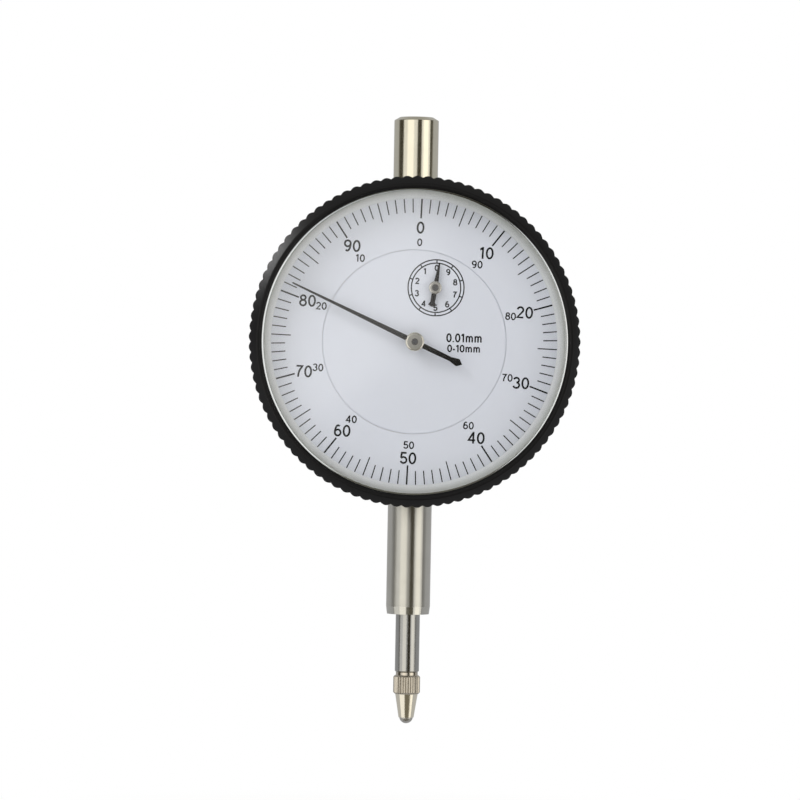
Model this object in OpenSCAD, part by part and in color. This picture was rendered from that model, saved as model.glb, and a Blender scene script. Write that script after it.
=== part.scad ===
// Mechanical dial indicator with a rack and pinion movement.
// Millimetres, +Z up along the stem, dial facing -Y, origin halfway along the stem's clamping length.

/* [Bezel] */
// Diameter over the tips of the rim's lobes
bezel_d = 59.7; // [57:0.1:66]
// Number of lobes around the rim
lobe_count = 97; // [60:1:120]
// Depth of the valleys between the lobes
lobe_depth = 0.36; // [0.2:0.02:0.5]
// Wall of the skirt, from the lobe tips to the bore
bezel_wall = 1.7; // [1.5:0.1:2.1]
// Width of the front ring, from the lobe tips to the opening
bezel_ring_w = 2.3; // [2.2:0.1:3.4]
// Width of the sloped outer edge of the front ring
bezel_bevel_w = 1.4; // [0.6:0.1:1.6]
// Height of the sloped outer edge of the front ring
bezel_bevel_h = 1.6; // [0.6:0.1:2]
// Thickness of the front lip over the crystal's rim
bezel_lip_t = 1.4; // [1:0.1:2]
// Chamfer on the lip's inner edge and on the skirt's back edge
bezel_chamfer = 0.4; // [0.2:0.1:0.6]
// Diameter of the wire that holds the bezel on the case
bezel_wire_d = 0.7; // [0.5:0.1:0.8]
// Opening between the ends of the bezel wire, in degrees
bezel_wire_gap = 15; // [5:1:30]

/* [Dial and crystal] */
// Diameter of the fixed inner dial
inner_dial_d = 33; // [31:0.5:36]
// Thickness of the fixed inner dial
inner_dial_t = 0.7; // [0.6:0.05:1]
// Thickness of the turning dial ring
dial_ring_t = 0.5; // [0.4:0.05:0.6]
// Width of the gap between the inner dial and the dial ring
dial_gap = 0.15; // [0.1:0.05:0.3]
// Height of the sloped ring between the dial ring and the crystal
slope_h = 1.9; // [1.7:0.1:3]
// Width of the slope, seen from the front
slope_w = 1.5; // [0.8:0.1:2]
// Thickness of the crystal's dome
crystal_t = 1.2; // [0.8:0.1:1.4]
// Thickness of the crystal's rim
crystal_rim_t = 1; // [0.8:0.1:1.4]
// Height of the crystal's straight edge inside the lip
crystal_edge_h = 0.4; // [0.2:0.1:0.8]
// Rise of the crystal's dome
crystal_rise = 1.8; // [1.2:0.1:3]

/* [Case] */
// Wall of the case's drum
case_wall = 3; // [2.8:0.1:4]
// Step from the drum down to the neck that carries the bezel
neck_step = 1; // [0.6:0.1:1.2]
// Width of the ledge that carries the main plate
ledge_w = 3; // [2.8:0.1:3.6]
// Thickness of the ledge
ledge_t = 1.7; // [1.4:0.1:1.9]
// Metal behind the stem, to the back of the case
case_back_margin = 2.5; // [2:0.1:4]
// Chamfer on the drum's and the cover's back edges
case_chamfer = 0.5; // [0.3:0.1:0.8]
// Thickness of the back cover
cover_t = 2; // [1.6:0.1:3]
// Height of the cover's register inside the case
cover_register_h = 1; // [0.6:0.1:1.2]

/* [Lug] */
// Thickness of the lug
lug_t = 5; // [4:0.5:8]
// Diameter of the lug's hole
lug_hole_d = 6.5; // [5:0.1:8]
// Distance from the cover to the hole's axis
lug_reach = 8; // [7:0.5:12]
// Metal around the hole
lug_rim = 3; // [2:0.5:5]

/* [Stem and cap] */
// Diameter of the stem
stem_d = 8; // [7.5:0.1:10]
// Length of the stem below the case
stem_len = 21; // [16:0.5:30]
// Length of the lead at the stem's lower end
stem_lead_h = 1.4; // [0.6:0.1:2]
// Radius lost over the stem's lead
stem_lead_w = 0.17; // [0.1:0.01:0.4]
// Height of the relief groove under the stem's shoulder, which keeps a clamp clear of the drum
stem_relief_h = 1; // [0.8:0.1:1.5]
// Depth of the relief groove
stem_relief_w = 0.3; // [0.2:0.05:0.5]
// Wall of the stem's shank inside the case
shank_wall = 0.6; // [0.5:0.1:0.8]
// Wall of the bush in the stem
bush_wall = 0.8; // [0.6:0.1:0.9]
// Length of the bush in the stem
bush_len = 12; // [8:1:14]
// Diameter of the top cap
cap_d = 8.1; // [8.1:0.1:10]
// Width of the chamfer at the cap's top
cap_chamfer_w = 1; // [0.4:0.1:1.4]
// Height of the chamfer at the cap's top
cap_chamfer_h = 0.6; // [0.4:0.1:1.2]
// Thickness of the cap's roof
cap_roof = 1.3; // [1:0.1:2.5]
// Length of the upper guide tube outside the case
tube_len = 6; // [4:0.5:8]
// Wall of the upper guide tube
tube_wall = 1; // [0.8:0.1:1.2]

/* [Spindle and contact point] */
// Diameter of the spindle
spindle_d = 4.4; // [4:0.1:5]
// Travel of the spindle
travel = 10.4; // [5:0.1:12]
// Room left between the contact collar and the stem at full travel
collar_gap = 0.8; // [0.4:0.1:2]
// Depth of the rack's tooth tips below the spindle's surface
rack_inset = 0.7; // [0.6:0.05:0.9]
// Diameter of the contact point's thread
contact_thread_d = 2.5; // [2:0.1:3]
// Length of the contact point's thread
contact_thread_len = 5; // [3:0.5:8]
// Diameter of the contact point's neck
contact_neck_d = 4; // [3.4:0.1:4.2]
// Length of the contact point's neck
contact_neck_len = 0.6; // [0.4:0.1:1.5]
// Diameter of the knurled collar
collar_d = 4.9; // [4.7:0.1:6]
// Length of the knurled collar
collar_len = 3.4; // [2:0.1:5]
// Number of ridges around the collar
knurl_count = 30; // [24:1:60]
// Depth of the grooves between the ridges
knurl_depth = 0.18; // [0.08:0.01:0.25]
// Diameter of the cone under the collar
cone_top_d = 4.1; // [3.8:0.1:4.4]
// Diameter of the cone at the ball
cone_end_d = 2.75; // [2.7:0.05:3.4]
// Length of the cone
cone_len = 4.3; // [2:0.1:12]
// Diameter of the contact ball
ball_d = 2.5; // [2.2:0.05:2.55]
// How far the ball stands out of the cone
ball_out = 1.08; // [0.8:0.01:1.1]

/* [Gear train] */
// Pitch of the rack's teeth
rack_pitch = 0.625; // [0.5:0.005:0.7]
// Teeth of the rack pinion
rack_pinion_teeth = 16; // [14:1:20]
// Length of the rack pinion
rack_pinion_len = 2.6; // [1.6:0.1:3]
// Module of the wheels and the centre pinion
wheel_module = 0.19; // [0.17:0.005:0.21]
// Teeth of the rack wheel and the counter wheel
wheel_teeth = 100; // [90:1:110]
// Teeth of the centre pinion
pinion_teeth = 10; // [10:1:12]
// Thickness of the wheels
wheel_t = 0.6; // [0.4:0.05:0.7]
// Height of the wheels above the bridge plate
wheel_lift = 0.6; // [0.5:0.05:0.8]
// Pressure angle of the teeth
pressure_angle = 20; // [18:0.5:22]
// Thickness taken off each tooth for backlash
tooth_thinning = 0.02; // [0.01:0.005:0.04]
// Turn of the counter's arbor from the dial's top, clockwise
counter_turn = 20; // [15:1:25]
// Diameter of the arbors
arbor_d = 1.2; // [1:0.1:1.4]
// Diameter of the arbors' pivots
pivot_d = 0.6; // [0.4:0.05:0.7]
// Diameter of the journals that carry the pointers
journal_d = 0.9; // [0.7:0.05:1]

/* [Movement] */
// Room between the spindle and the plates before and behind it
plate_gap = 0.6; // [0.4:0.1:1]
// Thickness of the bridge plate and the pinion cock
bridge_t = 0.8; // [0.7:0.1:1.2]
// Room between the bridge plate and the main plate
gear_space = 3.2; // [3:0.1:4]
// Thickness of the main plate
main_plate_t = 1.2; // [1:0.1:1.6]
// Diameter of the pillars
pillar_d = 3; // [2.6:0.1:3.6]
// Distance from the wheels' tips to the pillars' axes
pillar_reach = 3.5; // [3:0.1:5]
// Diameter of the jewels
jewel_d = 1.8; // [1.6:0.1:2]
// Diameter of the movement's screws
screw_d = 1; // [0.8:0.1:1.2]
// Diameter of the screws in the main plate and the back cover
plate_screw_d = 1.2; // [1:0.1:1.4]
// Diameter of the guide pin
guide_pin_d = 1.5; // [1.2:0.1:1.8]
// Height of the guide pin over the dial's centre, at rest
guide_pin_v = 5; // [4:0.5:6]
// Thickness of the spindle guide
guide_t = 1.2; // [1:0.1:1.6]
// Distance from the spindle to the spindle guide
guide_gap = 2.4; // [2.2:0.1:3]

/* [Springs] */
// Wire diameter of the return spring
spring_wire_d = 0.35; // [0.25:0.01:0.4]
// Outer diameter of the return spring
spring_d = 2.6; // [2.2:0.1:2.8]
// Turns of the return spring
spring_turns = 17; // [10:1:20]
// Distance from the dial's centre down to the spring post
spring_post_drop = 13.5; // [12:0.5:14]
// Diameter of the spring post
spring_post_d = 1.8; // [1.4:0.1:2]
// Turns of the hairspring
hairspring_turns = 5; // [3:1:6]
// Distance between the hairspring's turns
hairspring_pitch = 0.65; // [0.4:0.05:0.7]
// Thickness of the hairspring's strip
hairspring_t = 0.1; // [0.06:0.01:0.15]
// Height of the hairspring's strip
hairspring_h = 0.5; // [0.3:0.05:0.6]

/* [Pointers] */
// Thickness of both pointers
pointer_t = 0.2; // [0.15:0.05:0.3]
// Distance from the main pointer's tip to the foot of the slope
pointer_gap = 1.3; // [0.6:0.1:4]
// Width of a pointer at its tip
pointer_tip_w = 0.28; // [0.2:0.02:0.4]
// Width of a pointer at its hub
pointer_root_w = 1; // [0.7:0.05:1.4]
// Length of the main pointer's tail
pointer_tail = 9.5; // [6:0.1:12]
// Diameter of the main pointer's hub
hub_d = 3.45; // [2.8:0.05:4]
// Height of the main pointer's hub above its blade
hub_h = 1.1; // [0.8:0.1:1.3]
// Height of the main pointer's blade over the dial
pointer_lift = 1.6; // [1.5:0.1:1.8]
// Turn of the main pointer from the dial's top, anticlockwise
pointer_turn = 65.2; // [0:0.1:360]
// Length of the counter pointer
small_pointer_len = 4.6; // [3.5:0.1:5]
// Length of the counter pointer's tail
small_pointer_tail = 3.5; // [2:0.1:4]
// Diameter of the counter pointer's hub
small_hub_d = 2.4; // [1.6:0.1:3]
// Height of the counter pointer's blade over the dial
small_pointer_lift = 0.5; // [0.4:0.1:0.6]
// Turn of the counter pointer from the dial's top, anticlockwise
small_pointer_turn = -9.2; // [-180:0.1:180]

/* [Clearances] */
// Radial running clearance of spindle, pivots and guide pin
run_clear = 0.03; // [0.01:0.01:0.06]
// Gap between fixed pieces that are pressed or screwed together
seat_clear = 0.02; // [0.01:0.01:0.05]
// Gap between pieces that move past each other
free_clear = 0.3; // [0.2:0.05:0.4]
// End play of the arbors
end_play = 0.1; // [0.05:0.01:0.15]

/* [Hidden] */
$fn = 96;
// How far a cutting tool runs past the face it cuts
cut = 1;
// Small margin around seats and screws
seat_margin = 0.2;

// Radii of the bezel and the case
bezel_r = bezel_d / 2;
bore_r = bezel_r - bezel_wall;
lip_r = bezel_r - bezel_ring_w;
insert_r = bore_r - end_play;
neck_r = bore_r - free_clear;
case_r = neck_r + neck_step;
cavity_r = case_r - case_wall;
ledge_r = cavity_r - ledge_w;
slope_top_r = lip_r - seat_margin;
slope_foot_r = slope_top_r - slope_w;
inner_dial_r = inner_dial_d / 2;

// Radii of stem, cap and spindle
stem_r = stem_d / 2;
cap_r = cap_d / 2;
spindle_r = spindle_d / 2;
bush_r = spindle_r + bush_wall;
stem_bore_r = spindle_r + free_clear;
shank_r = stem_bore_r + shank_wall;
tube_r = spindle_r + tube_wall;
tube_flange_r = tube_r + tube_wall;

// Depths, counted forwards from the stem's axis
bridge_w = spindle_r + plate_gap;
bridge_front_w = bridge_w + bridge_t;
wheel_w = bridge_front_w + wheel_lift;
main_plate_w = bridge_front_w + gear_space;
main_front_w = main_plate_w + main_plate_t;
dial_w = main_front_w + inner_dial_t;
neck_front_w = main_front_w - end_play;
crystal_seat_w = dial_w + slope_h;
lip_w = crystal_seat_w + crystal_rim_t;
bezel_front_w = lip_w + bezel_lip_t;
shoulder_margin = 0.4;
bezel_back_w = max(stem_r, cap_r) + shoulder_margin + free_clear;
shoulder_w = bezel_back_w - free_clear;
case_back_w = -stem_r - case_back_margin;
cover_back_w = case_back_w - cover_t;
cock_w = -spindle_r - plate_gap;
crystal_top_w = lip_w + crystal_edge_h + crystal_rise;

// Heights along the stem; the case is spot-faced flat for stem and cap
function flat_at(r) = sqrt(pow(case_r, 2) - pow(r, 2));
stem_seat_r = flat_at(stem_r + 3 * seat_margin);
cap_seat_r = flat_at(cap_r + 3 * seat_margin);
stem_straight_len = stem_len - stem_lead_h;
stem_seat_z = stem_straight_len / 2;
stem_end_z = stem_seat_z - stem_len;
dial_z = stem_seat_z + stem_seat_r;
cap_seat_z = dial_z + cap_seat_r;
spindle_top_z = cap_seat_z;
cap_room = 0.8;
cap_top_z = spindle_top_z + travel + cap_room + cap_roof;
collar_top_z = stem_end_z - travel - collar_gap;
spindle_end_z = collar_top_z + contact_neck_len;
collar_end_z = collar_top_z - collar_len;
cone_end_z = collar_end_z - cone_len;
ball_z = cone_end_z - ball_out + ball_d / 2;

// Places of the arbors across the dial
addendum = 0.95;
dedendum = 1.25;
pinion_shift = 0.4;
rack_shift = 0.2;
rack_mod = rack_pitch / PI;
rack_pinion_r = rack_mod * rack_pinion_teeth / 2;
rack_tip_x = rack_inset - spindle_r;
rack_root_x = rack_tip_x + (addendum + dedendum) * rack_mod;
rack_line_x = rack_tip_x + addendum * rack_mod;
rack_axis_x = rack_line_x - rack_pinion_r - rack_shift * rack_mod;
centre_dist = wheel_module * (wheel_teeth + pinion_teeth) / 2;
wheel_tip_r = wheel_module * (wheel_teeth / 2 + addendum - pinion_shift);
wheel_root_r = wheel_module * (wheel_teeth / 2 - dedendum - pinion_shift);
rack_place = [rack_axis_x, -sqrt(pow(centre_dist, 2) - pow(rack_axis_x, 2))];
counter_place = centre_dist * [sin(counter_turn), cos(counter_turn)];
rack_direction = atan2(rack_place[1], rack_place[0]);
counter_direction = 90 - counter_turn;

// Turns that put the teeth in mesh at rest
pinion_phase = rack_direction;
rack_wheel_phase = rack_direction + 180 + 180 / wheel_teeth;
counter_slip = (pinion_phase - counter_direction) * pinion_teeth / wheel_teeth;
counter_wheel_phase = counter_direction + 180 - counter_slip + 180 / wheel_teeth;
flank_steps = 3;

// Places of pillars, guide and springs
function polar(r, a) = [r * cos(a), r * sin(a)];
pillar_r = pillar_d / 2;
pillar_ring = wheel_tip_r + pillar_reach;
counter_pillar_angles = [200, 150];
rack_pillar_angles = [20, -30];
pillar_places = concat(
    [for (a = counter_pillar_angles) counter_place + polar(pillar_ring, a)],
    [for (a = rack_pillar_angles) rack_place + polar(pillar_ring, a)]
);
pillar_margin = 1;
guide_pin_r = guide_pin_d / 2;
guide_x = spindle_r + guide_gap;
spring_r = spring_d / 2;
spring_wire_r = spring_wire_d / 2;
spring_x = guide_x + guide_t + spring_r + end_play;
guide_pin_end = spring_x + spring_r;
guide_foot_t = 1;
guide_end_wall = 1.4;
guide_screw_x = guide_pin_end + screw_d + free_clear + seat_margin;
guide_foot_end = guide_screw_x + screw_d + seat_margin * 2;
guide_low_v = guide_pin_v - guide_pin_r - guide_end_wall;
guide_high_v = guide_pin_v + travel + guide_pin_r + guide_end_wall;
guide_screw_places = [
    [guide_screw_x, guide_low_v + screw_d + guide_end_wall],
    [guide_screw_x, guide_high_v - screw_d - guide_end_wall]
];
bridge_corner_r = pillar_r + pillar_margin;
bridge_half_w = max([for (p = pillar_places) abs(p[0]) + bridge_corner_r, guide_foot_end + seat_margin]);
bridge_half_h = max([for (p = pillar_places) abs(p[1]) + bridge_corner_r, guide_high_v + seat_margin]);
cock_pillar_reach = 4.6;
cock_pillar_x = rack_axis_x - cock_pillar_reach;
cock_pillar_v = 2.6;
cock_pillar_places = [for (s = [-1, 1]) [cock_pillar_x, rack_place[1] + s * cock_pillar_v]];
cock_margin = 0.5;
spring_post_place = [spring_x, -spring_post_drop];
main_screw_ring = ledge_r + ledge_w / 2 - seat_margin;
main_screw_angles = [30, 150, 270];
cover_screw_ring = cavity_r + case_wall / 2 - case_chamfer / 2;
cover_screw_angles = [45, 135, 225, 315];
screw_head_ratio = 1.9;
slot_ratio = 0.35;
head_height_ratio = 0.7;
function head_height(d) = d * head_height_ratio;

// Heights of pointers and hubs
pointer_w = dial_w + pointer_lift;
small_pointer_w = dial_w + small_pointer_lift;
pointer_len = slope_foot_r - pointer_gap;
hub_flange_h = 0.3;
hub_top_w = pointer_w + pointer_t + hub_h;
small_hub_h = 0.5;
small_hub_top_w = small_pointer_w + pointer_t + small_hub_h;
collet_wall = 0.5;
collet_r = arbor_d / 2 + collet_wall;
collet_w = wheel_w + wheel_t + seat_clear;
hairspring_w = collet_w + end_play * 2;
collet_h = hairspring_h + end_play * 3;
hairspring_r0 = collet_r + hairspring_t;
hairspring_r1 = hairspring_r0 + hairspring_turns * hairspring_pitch;
stud_r = 0.45;

// Frame of the dial: x right, y up, z forwards out of the dial
module dial_frame() {
    translate([0, 0, dial_z])
        rotate([90, 0, 0])
            children();
}

module at(place, w) {
    translate([place[0], place[1], w])
        children();
}

module ring(r_out, r_in, h) {
    difference() {
        cylinder(r = r_out, h = h);
        translate([0, 0, -cut])
            cylinder(r = r_in, h = h + 2 * cut);
    }
}

// A screw with its head's top at z = 0 and its shank below; the head is flat and sunk, or round and proud
module sunk_screw_form(d, length, clear) {
    head_r = d * screw_head_ratio / 2;
    head_h = head_r - d / 2;
    rotate_extrude()
        polygon([
            [0, -length], [d / 2 + clear, -length], [d / 2 + clear, -head_h],
            [head_r + clear, 0], [head_r + clear, clear], [0, clear]
        ]);
}

module slot_cut(d) {
    slot_w = d * slot_ratio;
    translate([-d * screw_head_ratio, -slot_w / 2, -slot_w])
        cube([2 * d * screw_head_ratio, slot_w, slot_w + cut]);
}

module sunk_screw(d, length) {
    difference() {
        sunk_screw_form(d, length, 0);
        slot_cut(d);
    }
}

module proud_screw(d, length) {
    head_h = head_height(d);
    difference() {
        union() {
            translate([0, 0, -length])
                cylinder(r = d / 2, h = length);
            translate([0, 0, -head_h])
                cylinder(r = d * screw_head_ratio / 2, h = head_h);
        }
        slot_cut(d);
    }
}

// Involute teeth
function involute(a) = tan(a) * 180 / PI - a;
function tooth_half_angle(teeth, mod, shift, r) =
    (90 + 2 * shift * tan(pressure_angle) * 180 / PI) / teeth
    - tooth_thinning / (mod * teeth) * 180 / PI
    + involute(pressure_angle)
    - involute(acos(min(1, mod * teeth / 2 * cos(pressure_angle) / r)));
function flank_radii(root, base, tip) =
    let (start = max(root, base))
    concat(
        root < base ? [root] : [],
        [for (i = [0:flank_steps]) start + (tip - start) * i / flank_steps]
    );
function gear_outline(teeth, mod, shift, phase) =
    let (
        pitch_r = mod * teeth / 2,
        radii = flank_radii(
            pitch_r - mod * (dedendum - shift),
            pitch_r * cos(pressure_angle),
            pitch_r + mod * (addendum + shift)
        ),
        halves = [for (r = radii) tooth_half_angle(teeth, mod, shift, r)],
        last = len(radii) - 1
    )
    [
        for (i = [0:teeth - 1])
            each concat(
                [for (k = [0:last]) polar(radii[k], phase + i * 360 / teeth - halves[k])],
                [for (k = [last:-1:0]) polar(radii[k], phase + i * 360 / teeth + halves[k])]
            )
    ];

// A toothed wheel with round windows between hub and rim
window_count = 5;
window_ring = 0.56 * wheel_root_r;
window_r = 0.24 * wheel_root_r;

module wheel(phase) {
    difference() {
        linear_extrude(wheel_t)
            polygon(gear_outline(wheel_teeth, wheel_module, -pinion_shift, phase));
        translate([0, 0, -cut])
            cylinder(r = arbor_d / 2 + seat_clear, h = wheel_t + 2 * cut);
        for (i = [0:window_count - 1])
            at(polar(window_ring, i * 360 / window_count), -cut)
                cylinder(r = window_r, h = wheel_t + 2 * cut);
    }
}

// A shaft from steps of [radius, from, to]
module shaft(steps) {
    for (s = steps)
        translate([0, 0, s[1]])
            cylinder(r = s[0], h = s[2] - s[1]);
}

// Outline of the bezel's rim
lobe_steps = 6;
function lobe_radius(a) = bezel_r - lobe_depth * (1 - abs(cos(lobe_count * a / 2)));
function rim_angle(i) = i * 360 / (lobe_count * lobe_steps);
rim_outline = [
    for (i = [0:lobe_count * lobe_steps - 1])
        polar(lobe_radius(rim_angle(i)), 90 + rim_angle(i))
];
bezel_wire_w = (shoulder_w + neck_front_w) / 2;
bezel_wire_r = bezel_wire_d / 2;
wire_groove_h = bezel_wire_d + end_play * 2;

module bezel() {
    wire_groove_r = bore_r + bezel_wire_r + end_play;
    past_w = bezel_bevel_w / 2;
    past_h = bezel_bevel_h / 2;
    color([0.12, 0.12, 0.12])
        dial_frame()
            difference() {
                intersection() {
                    translate([0, 0, bezel_back_w])
                        linear_extrude(bezel_front_w - bezel_back_w)
                            polygon(rim_outline);
                    rotate_extrude()
                        polygon([
                            [0, bezel_back_w - cut],
                            [bezel_r - bezel_chamfer - cut, bezel_back_w - cut],
                            [bezel_r + past_w, bezel_back_w + bezel_chamfer + past_w],
                            [bezel_r + past_w, bezel_front_w - bezel_bevel_h - past_h],
                            [bezel_r - bezel_bevel_w - past_w, bezel_front_w + past_h],
                            [0, bezel_front_w + past_h]
                        ]);
                }
                rotate_extrude()
                    polygon([
                        [0, bezel_back_w - cut],
                        [bore_r, bezel_back_w - cut],
                        [bore_r, bezel_wire_w - wire_groove_h / 2],
                        [wire_groove_r, bezel_wire_w - wire_groove_h / 2],
                        [wire_groove_r, bezel_wire_w + wire_groove_h / 2],
                        [bore_r, bezel_wire_w + wire_groove_h / 2],
                        [bore_r, lip_w],
                        [lip_r, lip_w],
                        [lip_r, bezel_front_w - bezel_chamfer],
                        [lip_r + bezel_chamfer + cut, bezel_front_w + cut],
                        [0, bezel_front_w + cut]
                    ]);
            }
}

module bezel_wire() {
    color([0.6, 0.6, 0.62])
        dial_frame()
            translate([0, 0, bezel_wire_w])
                rotate([0, 0, 90 + bezel_wire_gap / 2])
                    rotate_extrude(angle = 360 - bezel_wire_gap)
                        translate([bore_r - bezel_wire_r + end_play, 0])
                            circle(r = bezel_wire_r);
}

// Domed crystal
dome_steps = 24;
dome_r = lip_r - end_play;
dome_curve = (pow(dome_r, 2) + pow(crystal_rise, 2)) / (2 * crystal_rise);
crystal_inner_r = slope_foot_r + slope_w / 3;
function dome_w(r, curve) = crystal_top_w - dome_curve + sqrt(pow(curve, 2) - pow(r, 2));

module crystal() {
    outer = [for (i = [0:dome_steps]) let (r = dome_r * i / dome_steps) [r, dome_w(r, dome_curve)]];
    inner = [
        for (i = [dome_steps:-1:0])
            let (r = crystal_inner_r * i / dome_steps)
            [r, dome_w(r, dome_curve - crystal_t)]
    ];
    rim = [
        [dome_r, lip_w], [insert_r, lip_w],
        [insert_r, crystal_seat_w], [crystal_inner_r, crystal_seat_w]
    ];
    color([0.85, 0.9, 0.95, 0.3])
        dial_frame()
            rotate_extrude()
                polygon(concat(outer, rim, inner));
}

module slope_ring() {
    color([0.75, 0.75, 0.74])
        dial_frame()
            rotate_extrude()
                polygon([
                    [slope_foot_r, dial_w], [insert_r, dial_w],
                    [insert_r, crystal_seat_w], [slope_top_r, crystal_seat_w]
                ]);
}

module dial_ring() {
    color([0.86, 0.87, 0.9])
        dial_frame()
            translate([0, 0, dial_w - dial_ring_t])
                ring(insert_r, inner_dial_r + dial_gap, dial_ring_t);
}

module inner_dial() {
    hole_r = journal_d / 2 + free_clear;
    color([0.86, 0.87, 0.9])
        dial_frame()
            difference() {
                translate([0, 0, main_front_w])
                    cylinder(r = inner_dial_r, h = inner_dial_t);
                for (p = [[0, 0], counter_place])
                    at(p, main_front_w - cut)
                        cylinder(r = hole_r, h = inner_dial_t + 2 * cut);
            }
}

// Case with its drum, neck and ledge
cover_screw_grip = 3;
cover_screw_len = cover_t + cover_screw_grip;

module cover_screw_places() {
    for (a = cover_screw_angles)
        at(polar(cover_screw_ring, a), cover_back_w)
            rotate([180, 0, 0])
                children();
}

module main_screw_places() {
    for (a = main_screw_angles)
        at(polar(main_screw_ring, a), main_front_w)
            children();
}

// A hole through the drum's wall with a flat seat around its outer end
module seat_cut(seat_r, hole_r, seat_v) {
    out = sign(seat_v);
    inner_v = seat_v - out * (case_wall + cut);
    translate([0, 0, dial_z])
        rotate_extrude()
            polygon([
                [0, inner_v],
                [hole_r, inner_v],
                [hole_r, seat_v],
                [seat_r, seat_v],
                [seat_r, seat_v + out * cut],
                [0, seat_v + out * cut]
            ]);
}

module case() {
    groove_r = bore_r - bezel_wire_d - free_clear + end_play;
    main_screw_len = main_plate_t + ledge_t;
    color([0.62, 0.63, 0.65])
        difference() {
            dial_frame()
                difference() {
                    rotate_extrude()
                        polygon([
                            [cavity_r, case_back_w],
                            [case_r, case_back_w],
                            [case_r, shoulder_w],
                            [neck_r, shoulder_w],
                            [neck_r, bezel_wire_w - wire_groove_h / 2],
                            [groove_r, bezel_wire_w - wire_groove_h / 2],
                            [groove_r, bezel_wire_w + wire_groove_h / 2],
                            [neck_r, bezel_wire_w + wire_groove_h / 2],
                            [neck_r, neck_front_w],
                            [cavity_r, neck_front_w],
                            [cavity_r, main_plate_w],
                            [ledge_r, main_plate_w],
                            [ledge_r, main_plate_w - ledge_t],
                            [cavity_r, main_plate_w - ledge_t]
                        ]);
                    main_screw_places()
                        sunk_screw_form(plate_screw_d, main_screw_len + cut, seat_clear);
                    cover_screw_places()
                        sunk_screw_form(plate_screw_d, cover_screw_len + cut, seat_clear);
                }
            seat_cut(stem_r + seat_margin, shank_r + seat_clear, -stem_seat_r);
            seat_cut(cap_r + seat_margin, tube_r + seat_clear, cap_seat_r);
        }
}

// Back cover with its lug
module back_cover() {
    register_r = cavity_r - end_play;
    lug_w = cover_back_w - lug_reach;
    lug_r = lug_hole_d / 2 + lug_rim;
    color([0.62, 0.63, 0.65])
        dial_frame()
            difference() {
                union() {
                    rotate_extrude()
                        polygon([
                            [0, cover_back_w], [case_r - case_chamfer, cover_back_w],
                            [case_r, cover_back_w + case_chamfer], [case_r, case_back_w],
                            [register_r, case_back_w], [register_r, case_back_w + cover_register_h],
                            [0, case_back_w + cover_register_h]
                        ]);
                    translate([-lug_t / 2, 0, lug_w])
                        rotate([0, 90, 0])
                            cylinder(r = lug_r, h = lug_t);
                    translate([-lug_t / 2, -lug_r, lug_w])
                        cube([lug_t, 2 * lug_r, lug_reach + cover_t / 2]);
                }
                translate([-lug_t / 2 - cut, 0, lug_w])
                    rotate([0, 90, 0])
                        cylinder(r = lug_hole_d / 2, h = lug_t + 2 * cut);
                cover_screw_places()
                    sunk_screw_form(plate_screw_d, cover_screw_len, seat_clear);
            }
}

module back_cover_screws() {
    color([0.7, 0.7, 0.72])
        dial_frame()
            cover_screw_places()
                sunk_screw(plate_screw_d, cover_screw_len);
}

// Stem, bush, upper tube and cap
bush_recess = 0.5;

module stem() {
    shank_top_z = dial_z - cavity_r + cut;
    bush_top_z = stem_end_z + bush_recess + bush_len;
    relief_z = stem_seat_z - stem_relief_h;
    color([0.72, 0.72, 0.7])
        rotate_extrude()
            polygon([
                [bush_r + seat_clear, stem_end_z],
                [stem_r - stem_lead_w, stem_end_z],
                [stem_r, stem_end_z + stem_lead_h],
                [stem_r, relief_z],
                [stem_r - stem_relief_w, relief_z],
                [stem_r - stem_relief_w, stem_seat_z],
                [shank_r, stem_seat_z],
                [shank_r, shank_top_z],
                [stem_bore_r, shank_top_z],
                [stem_bore_r, bush_top_z],
                [bush_r + seat_clear, bush_top_z]
            ]);
}

module stem_bush() {
    color([0.72, 0.6, 0.35])
        translate([0, 0, stem_end_z + bush_recess])
            ring(bush_r, spindle_r + run_clear, bush_len);
}

module upper_guide_tube() {
    flange_z = dial_z + sqrt(pow(cavity_r, 2) - pow(tube_flange_r, 2)) - seat_clear;
    flange_t = 0.8;
    color([0.72, 0.6, 0.35])
        rotate_extrude()
            polygon([
                [spindle_r + run_clear, flange_z - flange_t],
                [tube_flange_r, flange_z - flange_t],
                [tube_flange_r, flange_z],
                [tube_r, flange_z],
                [tube_r, cap_seat_z + tube_len],
                [spindle_r + run_clear, cap_seat_z + tube_len]
            ]);
}

module top_cap() {
    bore = tube_r + seat_clear;
    color([0.8, 0.79, 0.75])
        rotate_extrude()
            polygon([
                [bore, cap_seat_z],
                [cap_r, cap_seat_z],
                [cap_r, cap_top_z - cap_chamfer_h],
                [cap_r - cap_chamfer_w, cap_top_z],
                [0, cap_top_z],
                [0, cap_top_z - cap_roof],
                [bore, cap_top_z - cap_roof]
            ]);
}

// Spindle with its rack, and what is fixed to it
rack_overrun = rack_pinion_r + rack_mod * (addendum + rack_shift) + free_clear;
rack_low = ceil((travel + rack_overrun) / rack_pitch);
rack_high = ceil(rack_overrun / rack_pitch);
rack_half = rack_pitch / 4 - tooth_thinning / 2;
rack_slope = tan(pressure_angle) * rack_mod;

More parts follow.
